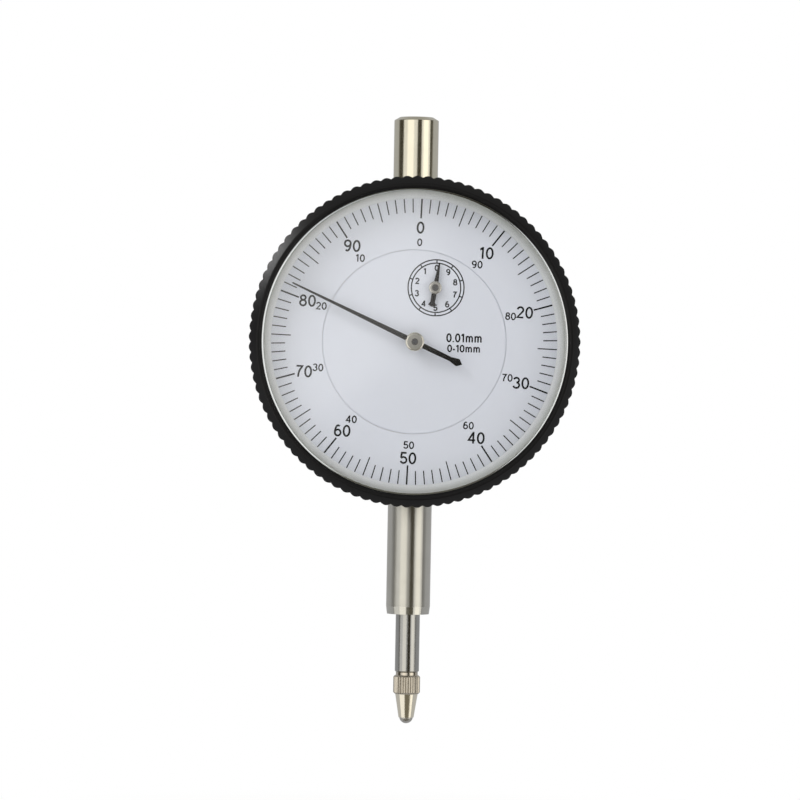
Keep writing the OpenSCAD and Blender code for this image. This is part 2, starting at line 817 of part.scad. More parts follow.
module rack_cut() {
    outside = -spindle_r - cut;
    teeth = [
        for (k = [-rack_low:rack_high - 1])
            let (
                v = rack_place[1] + (k + 0.5) * rack_pitch,
                root = rack_half + dedendum * rack_slope,
                tip = rack_half - addendum * rack_slope
            )
            each [
                [rack_root_x, v - root], [rack_tip_x, v - tip],
                [rack_tip_x, v + tip], [rack_root_x, v + root]
            ]
    ];
    low = rack_place[1] - rack_low * rack_pitch;
    high = rack_place[1] + rack_high * rack_pitch;
    dial_frame()
        translate([0, 0, outside])
            linear_extrude(-2 * outside)
                polygon(concat(
                    [[outside, low], [rack_root_x, low]],
                    teeth,
                    [[rack_root_x, high], [outside, high]]
                ));
}

module spindle() {
    edge = 0.2;
    color([0.7, 0.69, 0.66])
        difference() {
            rotate_extrude()
                polygon([
                    [0, spindle_end_z], [spindle_r - edge, spindle_end_z],
                    [spindle_r, spindle_end_z + edge], [spindle_r, spindle_top_z - edge],
                    [spindle_r - edge, spindle_top_z], [0, spindle_top_z]
                ]);
            rack_cut();
            translate([0, 0, spindle_end_z - cut])
                cylinder(r = contact_thread_d / 2 + seat_clear, h = contact_thread_len + seat_margin + cut);
            translate([-spindle_r - cut, 0, dial_z + guide_pin_v])
                rotate([0, 90, 0])
                    cylinder(r = guide_pin_r + seat_clear, h = spindle_d + 2 * cut);
        }
}

guide_pin_depth = 0.8 * spindle_r;

module guide_pin() {
    start = -guide_pin_depth;
    color([0.6, 0.6, 0.62])
        translate([start, 0, dial_z + guide_pin_v])
            rotate([0, 90, 0])
                cylinder(r = guide_pin_r, h = guide_pin_end - start);
}

module contact_point() {
    collar_r = collar_d / 2;
    edge = 0.3;
    ridges = [
        for (i = [0:2 * knurl_count - 1])
            polar(i % 2 == 0 ? collar_r : collar_r - knurl_depth, i * 180 / knurl_count)
    ];
    color([0.76, 0.74, 0.68])
        difference() {
            union() {
                translate([0, 0, collar_top_z - cut])
                    cylinder(r = contact_thread_d / 2, h = contact_thread_len + contact_neck_len + cut);
                translate([0, 0, collar_top_z - cut])
                    cylinder(r = contact_neck_d / 2, h = contact_neck_len + cut);
                intersection() {
                    translate([0, 0, collar_end_z])
                        linear_extrude(collar_len)
                            polygon(ridges);
                    rotate_extrude()
                        polygon([
                            [0, collar_end_z - cut],
                            [collar_r - edge - cut, collar_end_z - cut],
                            [collar_r + cut, collar_end_z + edge + cut],
                            [collar_r + cut, collar_top_z - edge - cut],
                            [collar_r - edge - cut, collar_top_z + cut],
                            [0, collar_top_z + cut]
                        ]);
                }
                rotate_extrude()
                    polygon([
                        [0, cone_end_z], [cone_end_d / 2, cone_end_z],
                        [cone_top_d / 2, collar_end_z], [cone_top_d / 2, collar_end_z + edge],
                        [0, collar_end_z + edge]
                    ]);
            }
            translate([0, 0, ball_z])
                sphere(r = ball_d / 2 + seat_clear);
        }
}

module contact_ball() {
    color([0.5, 0.5, 0.5])
        translate([0, 0, ball_z])
            sphere(r = ball_d / 2);
}

// Plates, pillars and screws of the movement
module main_plate() {
    color([0.75, 0.66, 0.4])
        dial_frame()
            difference() {
                translate([0, 0, main_plate_w])
                    cylinder(r = cavity_r - seat_margin, h = main_plate_t);
                for (p = [[0, 0], rack_place, counter_place])
                    at(p, main_plate_w - cut)
                        cylinder(r = jewel_d / 2 + seat_clear, h = main_plate_t + 2 * cut);
                for (p = pillar_places)
                    at(p, main_plate_w - cut)
                        cylinder(r = tenon_r + seat_clear, h = main_plate_t + 2 * cut);
                at(stud_place, main_plate_w - cut)
                    cylinder(r = stud_r + seat_clear, h = main_plate_t + 2 * cut);
                main_screw_places()
                    sunk_screw_form(plate_screw_d, main_plate_t + cut, seat_clear);
            }
}

module main_plate_screws() {
    color([0.7, 0.7, 0.72])
        dial_frame()
            main_screw_places()
                sunk_screw(plate_screw_d, main_plate_t + ledge_t);
}

tenon_r = pillar_r / 2;
bridge_screw_grip = 1.6;

module rounded_plate(low, high, r, h) {
    translate([low[0] + r, low[1], 0])
        cube([high[0] - low[0] - 2 * r, high[1] - low[1], h]);
    translate([low[0], low[1] + r, 0])
        cube([high[0] - low[0], high[1] - low[1] - 2 * r, h]);
    for (x = [low[0] + r, high[0] - r])
        for (y = [low[1] + r, high[1] - r])
            translate([x, y, 0])
                cylinder(r = r, h = h);
}

module bridge_plate() {
    holes = concat(
        [for (p = [[0, 0], counter_place]) [p, jewel_d / 2 + seat_clear]],
        [[rack_place, arbor_d / 2 + free_clear]],
        [for (p = pillar_places) [p, screw_d / 2 + seat_clear]],
        [for (p = guide_screw_places) [p, screw_d / 2 + seat_clear]],
        [for (p = cock_pillar_places) [p, tenon_r + seat_clear]],
        [[spring_post_place, post_tenon_r + seat_clear]]
    );
    color([0.75, 0.66, 0.4])
        dial_frame()
            difference() {
                intersection() {
                    translate([0, 0, bridge_w])
                        rounded_plate(
                            [-bridge_half_w, -bridge_half_h], [bridge_half_w, bridge_half_h],
                            bridge_corner_r, bridge_t
                        );
                    translate([0, 0, bridge_w - cut])
                        cylinder(r = cavity_r - cut, h = bridge_t + 2 * cut);
                }
                for (hole = holes)
                    at(hole[0], bridge_w - cut)
                        cylinder(r = hole[1], h = bridge_t + 2 * cut);
            }
}

module plate_pillars() {
    color([0.75, 0.66, 0.4])
        dial_frame()
            for (p = pillar_places)
                at(p, bridge_front_w)
                    difference() {
                        union() {
                            cylinder(r = pillar_r, h = gear_space);
                            cylinder(r = tenon_r, h = gear_space + main_plate_t);
                        }
                        translate([0, 0, -cut])
                            cylinder(r = screw_d / 2 + seat_clear, h = bridge_screw_grip + seat_margin + cut);
                    }
}

module bridge_screws() {
    head_h = head_height(screw_d);
    color([0.35, 0.4, 0.55])
        dial_frame()
            for (p = pillar_places)
                at(p, bridge_w - head_h)
                    rotate([180, 0, 0])
                        proud_screw(screw_d, head_h + bridge_t + bridge_screw_grip);
}

module pinion_cock() {
    reach = pillar_r + cock_margin;
    color([0.75, 0.66, 0.4])
        dial_frame()
            difference() {
                translate([0, 0, cock_w - bridge_t])
                    rounded_plate(
                        [cock_pillar_x - reach, rack_place[1] - cock_pillar_v - reach],
                        [rack_axis_x + jewel_d, rack_place[1] + cock_pillar_v + reach],
                        jewel_d / 2, bridge_t
                    );
                at(rack_place, cock_w - bridge_t - cut)
                    cylinder(r = jewel_d / 2 + seat_clear, h = bridge_t + 2 * cut);
                for (p = cock_pillar_places)
                    at(p, cock_w - bridge_t - cut)
                        cylinder(r = screw_d / 2 + seat_clear, h = bridge_t + 2 * cut);
            }
}

module cock_pillars() {
    color([0.75, 0.66, 0.4])
        dial_frame()
            for (p = cock_pillar_places)
                at(p, cock_w)
                    difference() {
                        union() {
                            cylinder(r = pillar_r, h = bridge_w - cock_w);
                            cylinder(r = tenon_r, h = bridge_front_w - cock_w);
                        }
                        translate([0, 0, -cut])
                            cylinder(r = screw_d / 2 + seat_clear, h = bridge_screw_grip + seat_margin + cut);
                    }
}

module cock_screws() {
    head_h = head_height(screw_d);
    color([0.35, 0.4, 0.55])
        dial_frame()
            for (p = cock_pillar_places)
                at(p, cock_w - bridge_t - head_h)
                    rotate([180, 0, 0])
                        proud_screw(screw_d, head_h + bridge_t + bridge_screw_grip);
}

module front_jewels() {
    holes = [[[0, 0], journal_d / 2], [counter_place, journal_d / 2], [rack_place, pivot_d / 2]];
    color([0.7, 0.1, 0.25])
        dial_frame()
            for (hole = holes)
                at(hole[0], main_plate_w)
                    ring(jewel_d / 2, hole[1] + run_clear, main_plate_t);
}

module rear_jewels() {
    color([0.7, 0.1, 0.25])
        dial_frame() {
            for (p = [[0, 0], counter_place])
                at(p, bridge_w)
                    ring(jewel_d / 2, pivot_d / 2 + run_clear, bridge_t);
            at(rack_place, cock_w - bridge_t)
                ring(jewel_d / 2, pivot_d / 2 + run_clear, bridge_t);
        }
}

// Guide that stops the spindle from turning
module spindle_guide() {
    slot_r = guide_pin_r + run_clear;
    height = guide_high_v - guide_low_v;
    back = slot_r + guide_end_wall;
    color([0.55, 0.56, 0.6])
        dial_frame()
            difference() {
                union() {
                    translate([guide_x, guide_low_v, -back])
                        cube([guide_t, height, back + bridge_w]);
                    translate([guide_x, guide_low_v, bridge_w - guide_foot_t])
                        cube([guide_foot_end - guide_x, height, guide_foot_t]);
                }
                for (v = [guide_pin_v, guide_pin_v + travel])
                    translate([guide_x - cut, v, 0])
                        rotate([0, 90, 0])
                            cylinder(r = slot_r, h = guide_t + 2 * cut);
                translate([guide_x - cut, guide_pin_v, -slot_r])
                    cube([guide_t + 2 * cut, travel, 2 * slot_r]);
                for (p = guide_screw_places)
                    at(p, bridge_w - guide_foot_t - cut)
                        cylinder(r = screw_d / 2 + seat_clear, h = guide_foot_t + 2 * cut);
            }
}

module guide_screws() {
    head_h = head_height(screw_d);
    color([0.35, 0.4, 0.55])
        dial_frame()
            for (p = guide_screw_places)
                at(p, bridge_w - guide_foot_t - head_h)
                    rotate([180, 0, 0])
                        proud_screw(screw_d, head_h + guide_foot_t + bridge_t);
}

// Return spring, one wire with a hook at each end
post_tenon_r = spring_post_d / 3;
spring_hook = 2.2;
spring_coil_r = spring_r - spring_wire_r;
spring_low_v = -spring_post_drop + spring_hook;
spring_high_v = guide_pin_v - spring_hook;
spring_rings = 8;
spring_sides = 6;
pin_hook_r = guide_pin_r + spring_wire_r + end_play;
post_hook_r = spring_post_d / 2 + spring_wire_r + end_play;
function coil_point(t) = [
    spring_x + spring_coil_r * cos(360 * t),
    spring_low_v + (spring_high_v - spring_low_v) * t / spring_turns,
    spring_coil_r * sin(360 * t)
];
hook_steps = 8;
post_hook_start = 150;
post_hook_turn = 210;
pin_hook_start = -60;
pin_hook_turn = 300;
post_hook = [
    for (i = [0:hook_steps])
        let (a = post_hook_start + post_hook_turn * i / hook_steps)
        [spring_x + post_hook_r * cos(a), -spring_post_drop + post_hook_r * sin(a), 0]
];
pin_hook = [
    for (i = [0:hook_steps])
        let (a = pin_hook_start + pin_hook_turn * i / hook_steps)
        [spring_x, guide_pin_v + pin_hook_r * sin(a), pin_hook_r * cos(a)]
];
coil_points = [for (i = [0:spring_turns * spring_rings]) coil_point(i / spring_rings)];
spring_points = concat(post_hook, coil_points, pin_hook);

function unit(v) = v / norm(v);
function tangent(p, i) = unit(p[min(i + 1, len(p) - 1)] - p[max(i - 1, 0)]);
function carried(n, t) = unit(n - (n * t) * t);

// A round wire along a list of points
module wire(points, r, sides) {
    last = len(points) - 1;
    tangents = [for (i = [0:last]) tangent(points, i)];
    steep = 0.7;
    across = abs(tangents[0][2]) < steep ? [0, 0, 1] : [1, 0, 0];
    normals = [
        for (
            i = 0, n = carried(across, tangents[0]);
            i <= last;
            i = i + 1, n = i <= last ? carried(n, tangents[i]) : n
        )
            n
    ];
    rings = [
        for (i = [0:last])
            let (side = cross(tangents[i], normals[i]))
            for (k = [0:sides - 1])
                points[i] + r * (cos(360 * k / sides) * normals[i] + sin(360 * k / sides) * side)
    ];
    walls = [
        for (i = [0:last - 1])
            for (k = [0:sides - 1])
                let (a = i * sides + k, b = i * sides + (k + 1) % sides)
                each [[a, a + sides, b], [b, a + sides, b + sides]]
    ];
    first_cap = [for (k = [1:sides - 2]) [0, k, k + 1]];
    top = last * sides;
    last_cap = [for (k = [1:sides - 2]) [top, top + k + 1, top + k]];
    polyhedron(points = rings, faces = concat(walls, first_cap, last_cap));
}

module return_spring() {
    color([0.6, 0.6, 0.62])
        dial_frame()
            wire(spring_points, spring_wire_r, spring_sides);
}

module spring_post() {
    head_w = -spring_wire_d - end_play * 2;
    head_t = 0.6;
    color([0.6, 0.6, 0.62])
        dial_frame()
            at(spring_post_place, 0)
                shaft([
                    [spring_post_d / 2 + spring_wire_d, head_w - head_t, head_w],
                    [spring_post_d / 2, head_w, bridge_w],
                    [post_tenon_r, bridge_w, bridge_front_w]
                ]);
}

// Hairspring on the counter's arbor
hair_steps = 20;
hair_last = hairspring_turns * hair_steps;
function hair_radius(i) = hairspring_r0 + (hairspring_r1 - hairspring_r0) * i / hair_last;
hairspring_outline = concat(
    [for (i = [0:hair_last]) polar(hair_radius(i), 360 * i / hair_steps)],
    [for (i = [hair_last:-1:0]) polar(hair_radius(i) + hairspring_t, 360 * i / hair_steps)]
);
stud_place = counter_place + [hairspring_r1 + hairspring_t + stud_r + seat_clear, 0];

module hairspring() {
    color([0.45, 0.5, 0.65])
        dial_frame()
            at(counter_place, hairspring_w)
                linear_extrude(hairspring_h)
                    polygon(hairspring_outline);
}

module hairspring_stud() {
    color([0.6, 0.6, 0.62])
        dial_frame()
            at(stud_place, hairspring_w - end_play)
                cylinder(r = stud_r, h = main_front_w - hairspring_w + end_play);
}

module hairspring_collet() {
    color([0.75, 0.66, 0.4])
        dial_frame()
            at(counter_place, collet_w)
                ring(collet_r, arbor_d / 2 + seat_clear, collet_h);
}

// Arbors, pinions and wheels
arbor_back_w = bridge_front_w + end_play;
arbor_front_w = main_plate_w - end_play;
pinion_over = 0.3;

module rack_pinion() {
    cock_front_w = cock_w + end_play;
    color([0.65, 0.65, 0.66])
        dial_frame()
            at(rack_place, 0) {
                shaft([
                    [pivot_d / 2, cock_w - bridge_t + end_play, cock_front_w],
                    [arbor_d / 2, cock_front_w, arbor_front_w],
                    [pivot_d / 2, arbor_front_w, main_front_w - end_play]
                ]);
                translate([0, 0, -rack_pinion_len / 2])
                    linear_extrude(rack_pinion_len)
                        polygon(gear_outline(rack_pinion_teeth, rack_mod, rack_shift, 0));
            }
}

module rack_wheel() {
    color([0.8, 0.68, 0.35])
        dial_frame()
            at(rack_place, wheel_w)
                wheel(rack_wheel_phase);
}

module centre_pinion() {
    color([0.65, 0.65, 0.66])
        dial_frame() {
            shaft([
                [pivot_d / 2, bridge_w + end_play, arbor_back_w],
                [arbor_d / 2, arbor_back_w, arbor_front_w],
                [journal_d / 2, arbor_front_w, hub_top_w - hub_flange_h]
            ]);
            translate([0, 0, wheel_w - pinion_over])
                linear_extrude(wheel_t + 2 * pinion_over)
                    polygon(gear_outline(pinion_teeth, wheel_module, pinion_shift, pinion_phase));
        }
}

module counter_arbor() {
    color([0.65, 0.65, 0.66])
        dial_frame()
            at(counter_place, 0)
                shaft([
                    [pivot_d / 2, bridge_w + end_play, arbor_back_w],
                    [arbor_d / 2, arbor_back_w, arbor_front_w],
                    [journal_d / 2, arbor_front_w, small_hub_top_w - hub_flange_h]
                ]);
}

module counter_wheel() {
    color([0.8, 0.68, 0.35])
        dial_frame()
            at(counter_place, wheel_w)
                wheel(counter_wheel_phase);
}

// Pointers; the blade points up before it is turned
neck_ratio = 0.82;
spade_ratio = 1.45;
spade_start = 0.75;
spade_wide = 0.91;

module blade(length, tail, tip_w, root_w, eye_r, hole_r) {
    linear_extrude(pointer_t)
        difference() {
            union() {
                circle(r = eye_r);
                polygon([
                    [-root_w / 2, 0],
                    [root_w / 2, 0],
                    [tip_w / 2, length - tip_w],
                    [0, length],
                    [-tip_w / 2, length - tip_w]
                ]);
                polygon([
                    [root_w / 2, 0],
                    [-root_w / 2, 0],
                    [-root_w * neck_ratio / 2, -tail * spade_start],
                    [-root_w * spade_ratio / 2, -tail * spade_wide],
                    [0, -tail],
                    [root_w * spade_ratio / 2, -tail * spade_wide],
                    [root_w * neck_ratio / 2, -tail * spade_start]
                ]);
            }
            circle(r = hole_r);
        }
}

hub_neck_wall = 0.4;
hub_neck_r = journal_d / 2 + hub_neck_wall;
hub_edge = 0.25;
eye_ratio = 0.9;

module main_pointer() {
    color([0.08, 0.08, 0.08])
        dial_frame()
            translate([0, 0, pointer_w])
                rotate([0, 0, pointer_turn])
                    blade(
                        pointer_len, pointer_tail, pointer_tip_w, pointer_root_w,
                        eye_ratio * hub_d / 2, hub_neck_r + seat_clear
                    );
}

// A hub that grips its blade, with the arbor's end in its bore
module hub(r, blade_w, top_w, edge) {
    bore = journal_d / 2 + seat_clear;
    rotate_extrude()
        polygon([
            [bore, blade_w - hub_flange_h],
            [hub_neck_r + hub_flange_h, blade_w - hub_flange_h],
            [hub_neck_r + hub_flange_h, blade_w],
            [hub_neck_r, blade_w],
            [hub_neck_r, blade_w + pointer_t],
            [r, blade_w + pointer_t],
            [r, top_w - edge],
            [r - edge, top_w],
            [bore, top_w]
        ]);
}

module main_pointer_hub() {
    color([0.75, 0.74, 0.72])
        dial_frame()
            hub(hub_d / 2, pointer_w, hub_top_w, hub_edge);
}

module counter_pointer() {
    color([0.08, 0.08, 0.08])
        dial_frame()
            at(counter_place, small_pointer_w)
                rotate([0, 0, small_pointer_turn])
                    blade(
                        small_pointer_len, small_pointer_tail, pointer_tip_w, pointer_root_w,
                        eye_ratio * small_hub_d / 2, hub_neck_r + seat_clear
                    );
}

module counter_pointer_hub() {
    color([0.75, 0.74, 0.72])
        dial_frame()
            at(counter_place, 0)
                hub(small_hub_d / 2, small_pointer_w, small_hub_top_w, hub_edge / 2);
}

case();
back_cover();
back_cover_screws();
stem();
stem_bush();
upper_guide_tube();
top_cap();
bezel_wire();
main_plate();
main_plate_screws();
bridge_plate();
plate_pillars();
bridge_screws();
pinion_cock();
cock_pillars();
cock_screws();
front_jewels();
rear_jewels();
inner_dial();
spindle_guide();
guide_screws();
spring_post();
return_spring();
hairspring();
hairspring_stud();
spindle();
guide_pin();
contact_point();
contact_ball();
rack_pinion();
rack_wheel();
centre_pinion();
main_pointer();
main_pointer_hub();
counter_arbor();
counter_wheel();
hairspring_collet();
counter_pointer();
counter_pointer_hub();
bezel();
crystal();
slope_ring();
dial_ring();
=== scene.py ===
# %% [markdown]
# # A dial indicator, dressed on its CAD frame
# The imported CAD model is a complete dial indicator: case, gear train, springs, pointers, dial and bezel.
# This lesson gives it the finish of the real tool. Shapes that are right already keep their mesh and get a
# material, pieces whose edges or curves should be softer are turned again as finer meshes, and the print on
# the dial, which is too thin for CAD, is drawn as ink.

# %% Load the frame
from math import asin, cos, degrees, pi, radians, sin, sqrt, tan, tau

import bmesh
import bpy
from mathutils import Matrix, Vector


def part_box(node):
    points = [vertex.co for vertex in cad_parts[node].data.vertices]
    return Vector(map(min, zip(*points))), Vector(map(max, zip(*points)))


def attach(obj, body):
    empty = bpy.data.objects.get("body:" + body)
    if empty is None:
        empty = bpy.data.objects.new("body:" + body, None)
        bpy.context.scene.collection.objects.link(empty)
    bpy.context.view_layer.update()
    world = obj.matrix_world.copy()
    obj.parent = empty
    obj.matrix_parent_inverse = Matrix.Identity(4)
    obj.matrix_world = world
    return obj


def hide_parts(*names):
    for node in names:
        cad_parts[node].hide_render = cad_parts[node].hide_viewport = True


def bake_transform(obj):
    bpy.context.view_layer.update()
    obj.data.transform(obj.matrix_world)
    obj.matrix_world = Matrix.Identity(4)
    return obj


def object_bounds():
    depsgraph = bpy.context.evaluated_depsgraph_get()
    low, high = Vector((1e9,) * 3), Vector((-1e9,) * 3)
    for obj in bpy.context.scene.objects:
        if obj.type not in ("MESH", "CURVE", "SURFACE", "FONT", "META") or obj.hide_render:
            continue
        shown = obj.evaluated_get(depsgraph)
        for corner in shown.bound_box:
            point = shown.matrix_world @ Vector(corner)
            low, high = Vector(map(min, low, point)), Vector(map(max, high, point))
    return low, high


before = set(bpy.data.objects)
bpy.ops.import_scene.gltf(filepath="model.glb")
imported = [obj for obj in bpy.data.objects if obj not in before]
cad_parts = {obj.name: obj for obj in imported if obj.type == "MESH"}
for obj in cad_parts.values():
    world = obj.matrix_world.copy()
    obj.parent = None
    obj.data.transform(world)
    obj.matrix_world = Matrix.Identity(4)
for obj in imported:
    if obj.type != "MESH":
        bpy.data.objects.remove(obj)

MM = 0.001
scene = bpy.context.scene
cad_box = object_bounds()

# %% [markdown]
# ## Sizes from the frame
# Every place below is worked out from the CAD nodes' boxes, in millimetres. On the dial, places are counted
# across, up and forwards from its centre, as a dial printer would, and one function turns them into the
# frame, where X is across, Z is up along the stem and the dial faces minus Y.

# %% Read the sizes
def box_mm(node):
    """Lowest and highest corner of a CAD node, in millimetres."""
    low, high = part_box(node)
    return low / MM, high / MM


ring_low, ring_high = box_mm("dial_ring")
DIAL_Z = (ring_low.z + ring_high.z) / 2
FACE_W = -ring_low.y


def on_dial(across, up, forward):
    """A place counted from the dial's centre, in the frame."""
    return Vector((across, -forward, DIAL_Z + up))


def middle_on_dial(node):
    """Across and up of a node's middle, from the dial's centre."""
    low, high = box_mm(node)
    return (low.x + high.x) / 2, (low.z + high.z) / 2 - DIAL_Z


print(f"dial centre at z {DIAL_Z:.2f} mm, printed face {FACE_W:.2f} mm in front of the stem's axis")

# %% [markdown]
# ## Camera
# A product photo like this one is taken from about a metre away with a long lens, so circles stay round and
# the stem's sides stay parallel. The angles were found by fitting known points to their places in the
# photo. The photo's object leans one degree, which the camera takes as a roll.

# %% Make the camera
VIEW_AZIMUTH, VIEW_ELEVATION = -1.743, 0.205
VIEW_ROLL = radians(1.025)
VIEW_DISTANCE_MM = 821.4
VIEW_AIM_MM = Vector((-2.13, 0, 27.72))
FOCAL_LENGTH_PX = 4507
PHOTO_SIDE_PX = 800
SENSOR_MM = 36


def towards(azimuth, elevation):
    """Direction from the tool, with the azimuth counted from the front towards +X, in degrees."""
    turn, rise = radians(azimuth), radians(elevation)
    return Vector((sin(turn) * cos(rise), -cos(turn) * cos(rise), sin(rise)))


view_back = towards(VIEW_AZIMUTH, VIEW_ELEVATION)
level_right = towards(VIEW_AZIMUTH + 90, 0)
level_up = view_back.cross(level_right)
view_right = cos(VIEW_ROLL) * level_right + sin(VIEW_ROLL) * level_up
view_up = cos(VIEW_ROLL) * level_up - sin(VIEW_ROLL) * level_right

camera = bpy.data.objects.new("camera", bpy.data.cameras.new("long_lens"))
camera.data.sensor_width = SENSOR_MM
camera.data.lens = FOCAL_LENGTH_PX / PHOTO_SIDE_PX * SENSOR_MM
camera_place = (VIEW_AIM_MM + view_back * VIEW_DISTANCE_MM) * MM
camera_turn = Matrix((view_right, view_up, view_back)).transposed().to_4x4()
camera.matrix_world = Matrix.Translation(camera_place) @ camera_turn
scene.collection.objects.link(camera)
scene.camera = camera
scene.view_settings.view_transform = "Standard"
print(f"lens {camera.data.lens:.0f} mm, {VIEW_DISTANCE_MM:.0f} mm away")

# %% [markdown]
# ## Colours and nodes
# Colours are written as the eye knows them, in sRGB hex, and Blender wants linear light, so one function
# converts them. One more function adds a node of any kind: settings are the node's own options, and inputs
# are either values or sockets to link from.

# %% Read a colour
def colour(code):
    """Linear RGBA of an sRGB hex value."""
    srgb = [int(code[i:i + 2], 16) / 255 for i in (1, 3, 5)]
    return [c / 12.92 if c <= 0.04045 else ((c + 0.055) / 1.055) ** 2.4 for c in srgb] + [1]


print("white is", colour("#ffffff"))

# %% Add nodes
def add_node(owner, kind, inputs=None, **settings):
    """Adds a node to a material or world, sets its options, and fills or links its inputs."""
    made = owner.node_tree.nodes.new("ShaderNode" + kind)
    for name, value in settings.items():
        setattr(made, name, value)
    for name, value in (inputs or {}).items():
        if isinstance(value, bpy.types.NodeSocket):
            owner.node_tree.links.new(value, made.inputs[name])
        else:
            made.inputs[name].default_value = value
    return made


def link(owner, socket, target):
    """Links an output to an input."""
    owner.node_tree.links.new(socket, target)


def bare_material(name):
    """A material that has no nodes yet."""
    material = bpy.data.materials.new(name)
    material.use_nodes = True
    material.node_tree.nodes.clear()
    return material


# %% [markdown]
# ## Studio
# The cap and the stem are mirrors bent round the vertical axis, so they show the studio as stripes. An
# image could light the scene, but each stripe has to lie where the photo has it, so the world is built from
# ramps: for reflections a dark, warm room, a table, a ceiling and a pale paper sweep that bends forward
# below the tool, and for matt surfaces a soft light that fades downwards. The camera sees plain white.

# %% Light the world
SKY_LIGHT, GROUND_LIGHT = 0.68, 0.02
GROUND_END, SKY_START = -0.5, 0.5
ROOM_GLOSS, ROOM_TINT = 0.05, "#fff1c6"
BACKDROP_GLOSS, BACKDROP_START, BACKDROP_FULL = 0.48, -0.07, 0.05
CEILING_GLOSS, CEILING_START, CEILING_FULL = 0.4, 0.6, 0.9
TABLE_GLOSS, TABLE_START, TABLE_FULL = 0.17, -0.15, -0.35
SWEEP_SLANT, SWEEP_LOW, SWEEP_HIGH = 2.7, -0.06, 0.07
SWEEP_SKEW = 0.07

world = bpy.data.worlds.new("studio")
world.use_nodes = True
scene.world = world
path = add_node(world, "LightPath").outputs
way = add_node(world, "SeparateXYZ", {0: add_node(world, "TexCoord").outputs["Generated"]}).outputs
bend = add_node(world, "Clamp", {"Value": way["Z"], "Min": SWEEP_LOW, "Max": SWEEP_HIGH}).outputs[0]
skew = add_node(world, "Math", {
    0: way["X"], 1: SWEEP_SKEW, 2: way["Y"],
}, operation="MULTIPLY_ADD").outputs[0]
sweep = add_node(world, "Math", {
    0: bend, 1: -SWEEP_SLANT, 2: skew,
}, operation="MULTIPLY_ADD").outputs[0]
table = add_node(world, "MapRange", {
    "Value": way["Z"], "From Min": TABLE_START, "From Max": TABLE_FULL,
    "To Min": ROOM_GLOSS, "To Max": TABLE_GLOSS,
}, interpolation_type="SMOOTHSTEP").outputs[0]
backdrop = add_node(world, "MapRange", {
    "Value": sweep, "From Min": BACKDROP_START, "From Max": BACKDROP_FULL,
    "To Min": table, "To Max": BACKDROP_GLOSS,
}, interpolation_type="SMOOTHSTEP").outputs[0]
overhead = add_node(world, "MapRange", {
    "Value": way["Z"], "From Min": CEILING_START, "From Max": CEILING_FULL,
}, interpolation_type="SMOOTHSTEP").outputs[0]
room = add_node(world, "Mix", {"Factor": overhead, "A": backdrop, "B": CEILING_GLOSS}).outputs[0]
ambient = add_node(world, "MapRange", {
    "Value": way["Z"], "From Min": GROUND_END, "From Max": SKY_START,
    "To Min": GROUND_LIGHT, "To Max": SKY_LIGHT,
}, interpolation_type="SMOOTHSTEP").outputs[0]
lit = add_node(world, "Mix", {"Factor": path["Is Glossy Ray"], "A": ambient, "B": room}).outputs[0]
seen = add_node(world, "Math", {
    0: path["Is Camera Ray"], 1: path["Is Transmission Ray"],
}, operation="MAXIMUM").outputs[0]
strength = add_node(world, "Mix", {"Factor": seen, "A": lit, "B": 1.0}).outputs[0]
in_dark = add_node(world, "MapRange", {
    "Value": room, "From Min": ROOM_GLOSS, "From Max": BACKDROP_GLOSS,
    "To Min": path["Is Glossy Ray"], "To Max": 0.0,
}).outputs[0]
tint = add_node(world, "Mix", {
    "Factor": in_dark, "A": colour("#ffffff"), "B": colour(ROOM_TINT),
}, data_type="RGBA").outputs["Result"]
background = world.node_tree.nodes["Background"].inputs
link(world, tint, background["Color"])
link(world, strength, background["Strength"])
print("world light:", SKY_LIGHT, "from above and", GROUND_LIGHT, "from below")

# %% [markdown]
# ## Soft boxes
# Two soft boxes stand beside the camera, brighter in their middle, with a dark gap between them. A flag
# cuts the left box's lower corner, which shows as a slanted edge in the crystal, so that box is a glowing
# outline given by its corners; the others are plain area lamps. A key lamp from the upper left, which
# reflections leave out, gives the dial its even tone.

# %% Hang the soft boxes
BOX_DISTANCE = 1.1
BOX_RADIANCE = 0.95
BOX_TINT, CORE_TINT = "#fffdf8", "#fff7e4"


def new_object(name, points, faces, material):
    """A mesh object in the frame, from points in millimetres."""
    mesh = bpy.data.meshes.new(name)
    mesh.from_pydata([p * MM for p in points], [], faces)
    mesh.materials.append(material)
    made = bpy.data.objects.new(name, mesh)
    scene.collection.objects.link(made)
    return made


def soft_box(name, azimuth, elevation, width, height, radiance, tint, distance=BOX_DISTANCE):
    """A rectangular lamp that faces the dial, with its angles in degrees and its sides in metres."""
    outwards = towards(azimuth, elevation)
    lamp = bpy.data.lights.new(name, "AREA")
    lamp.shape = "RECTANGLE"
    lamp.size, lamp.size_y = width, height
    lamp.energy = radiance * pi * width * height
    lamp.color = colour(tint)[:3]
    made = bpy.data.objects.new(name, lamp)
    made.location = VIEW_AIM_MM * MM + outwards * distance
    made.rotation_euler = outwards.to_track_quat("Z", "Y").to_euler()
    made.visible_camera = False
    scene.collection.objects.link(made)
    return made


def flagged_box(name, middle, corners, radiance, tint):
    """A glowing flat outline that faces the dial, with its corners given as directions."""
    outwards = towards(*middle)
    ways = [towards(*corner) for corner in corners]
    points = [VIEW_AIM_MM + w * BOX_DISTANCE / MM / w.dot(outwards) for w in ways]
    glow = bare_material(name + "_cloth")
    light = add_node(glow, "Emission", {"Color": colour(tint), "Strength": radiance})
    add_node(glow, "OutputMaterial", {"Surface": light.outputs[0]})
    made = new_object(name, points, [range(len(ways))], glow)
    made.visible_camera = False


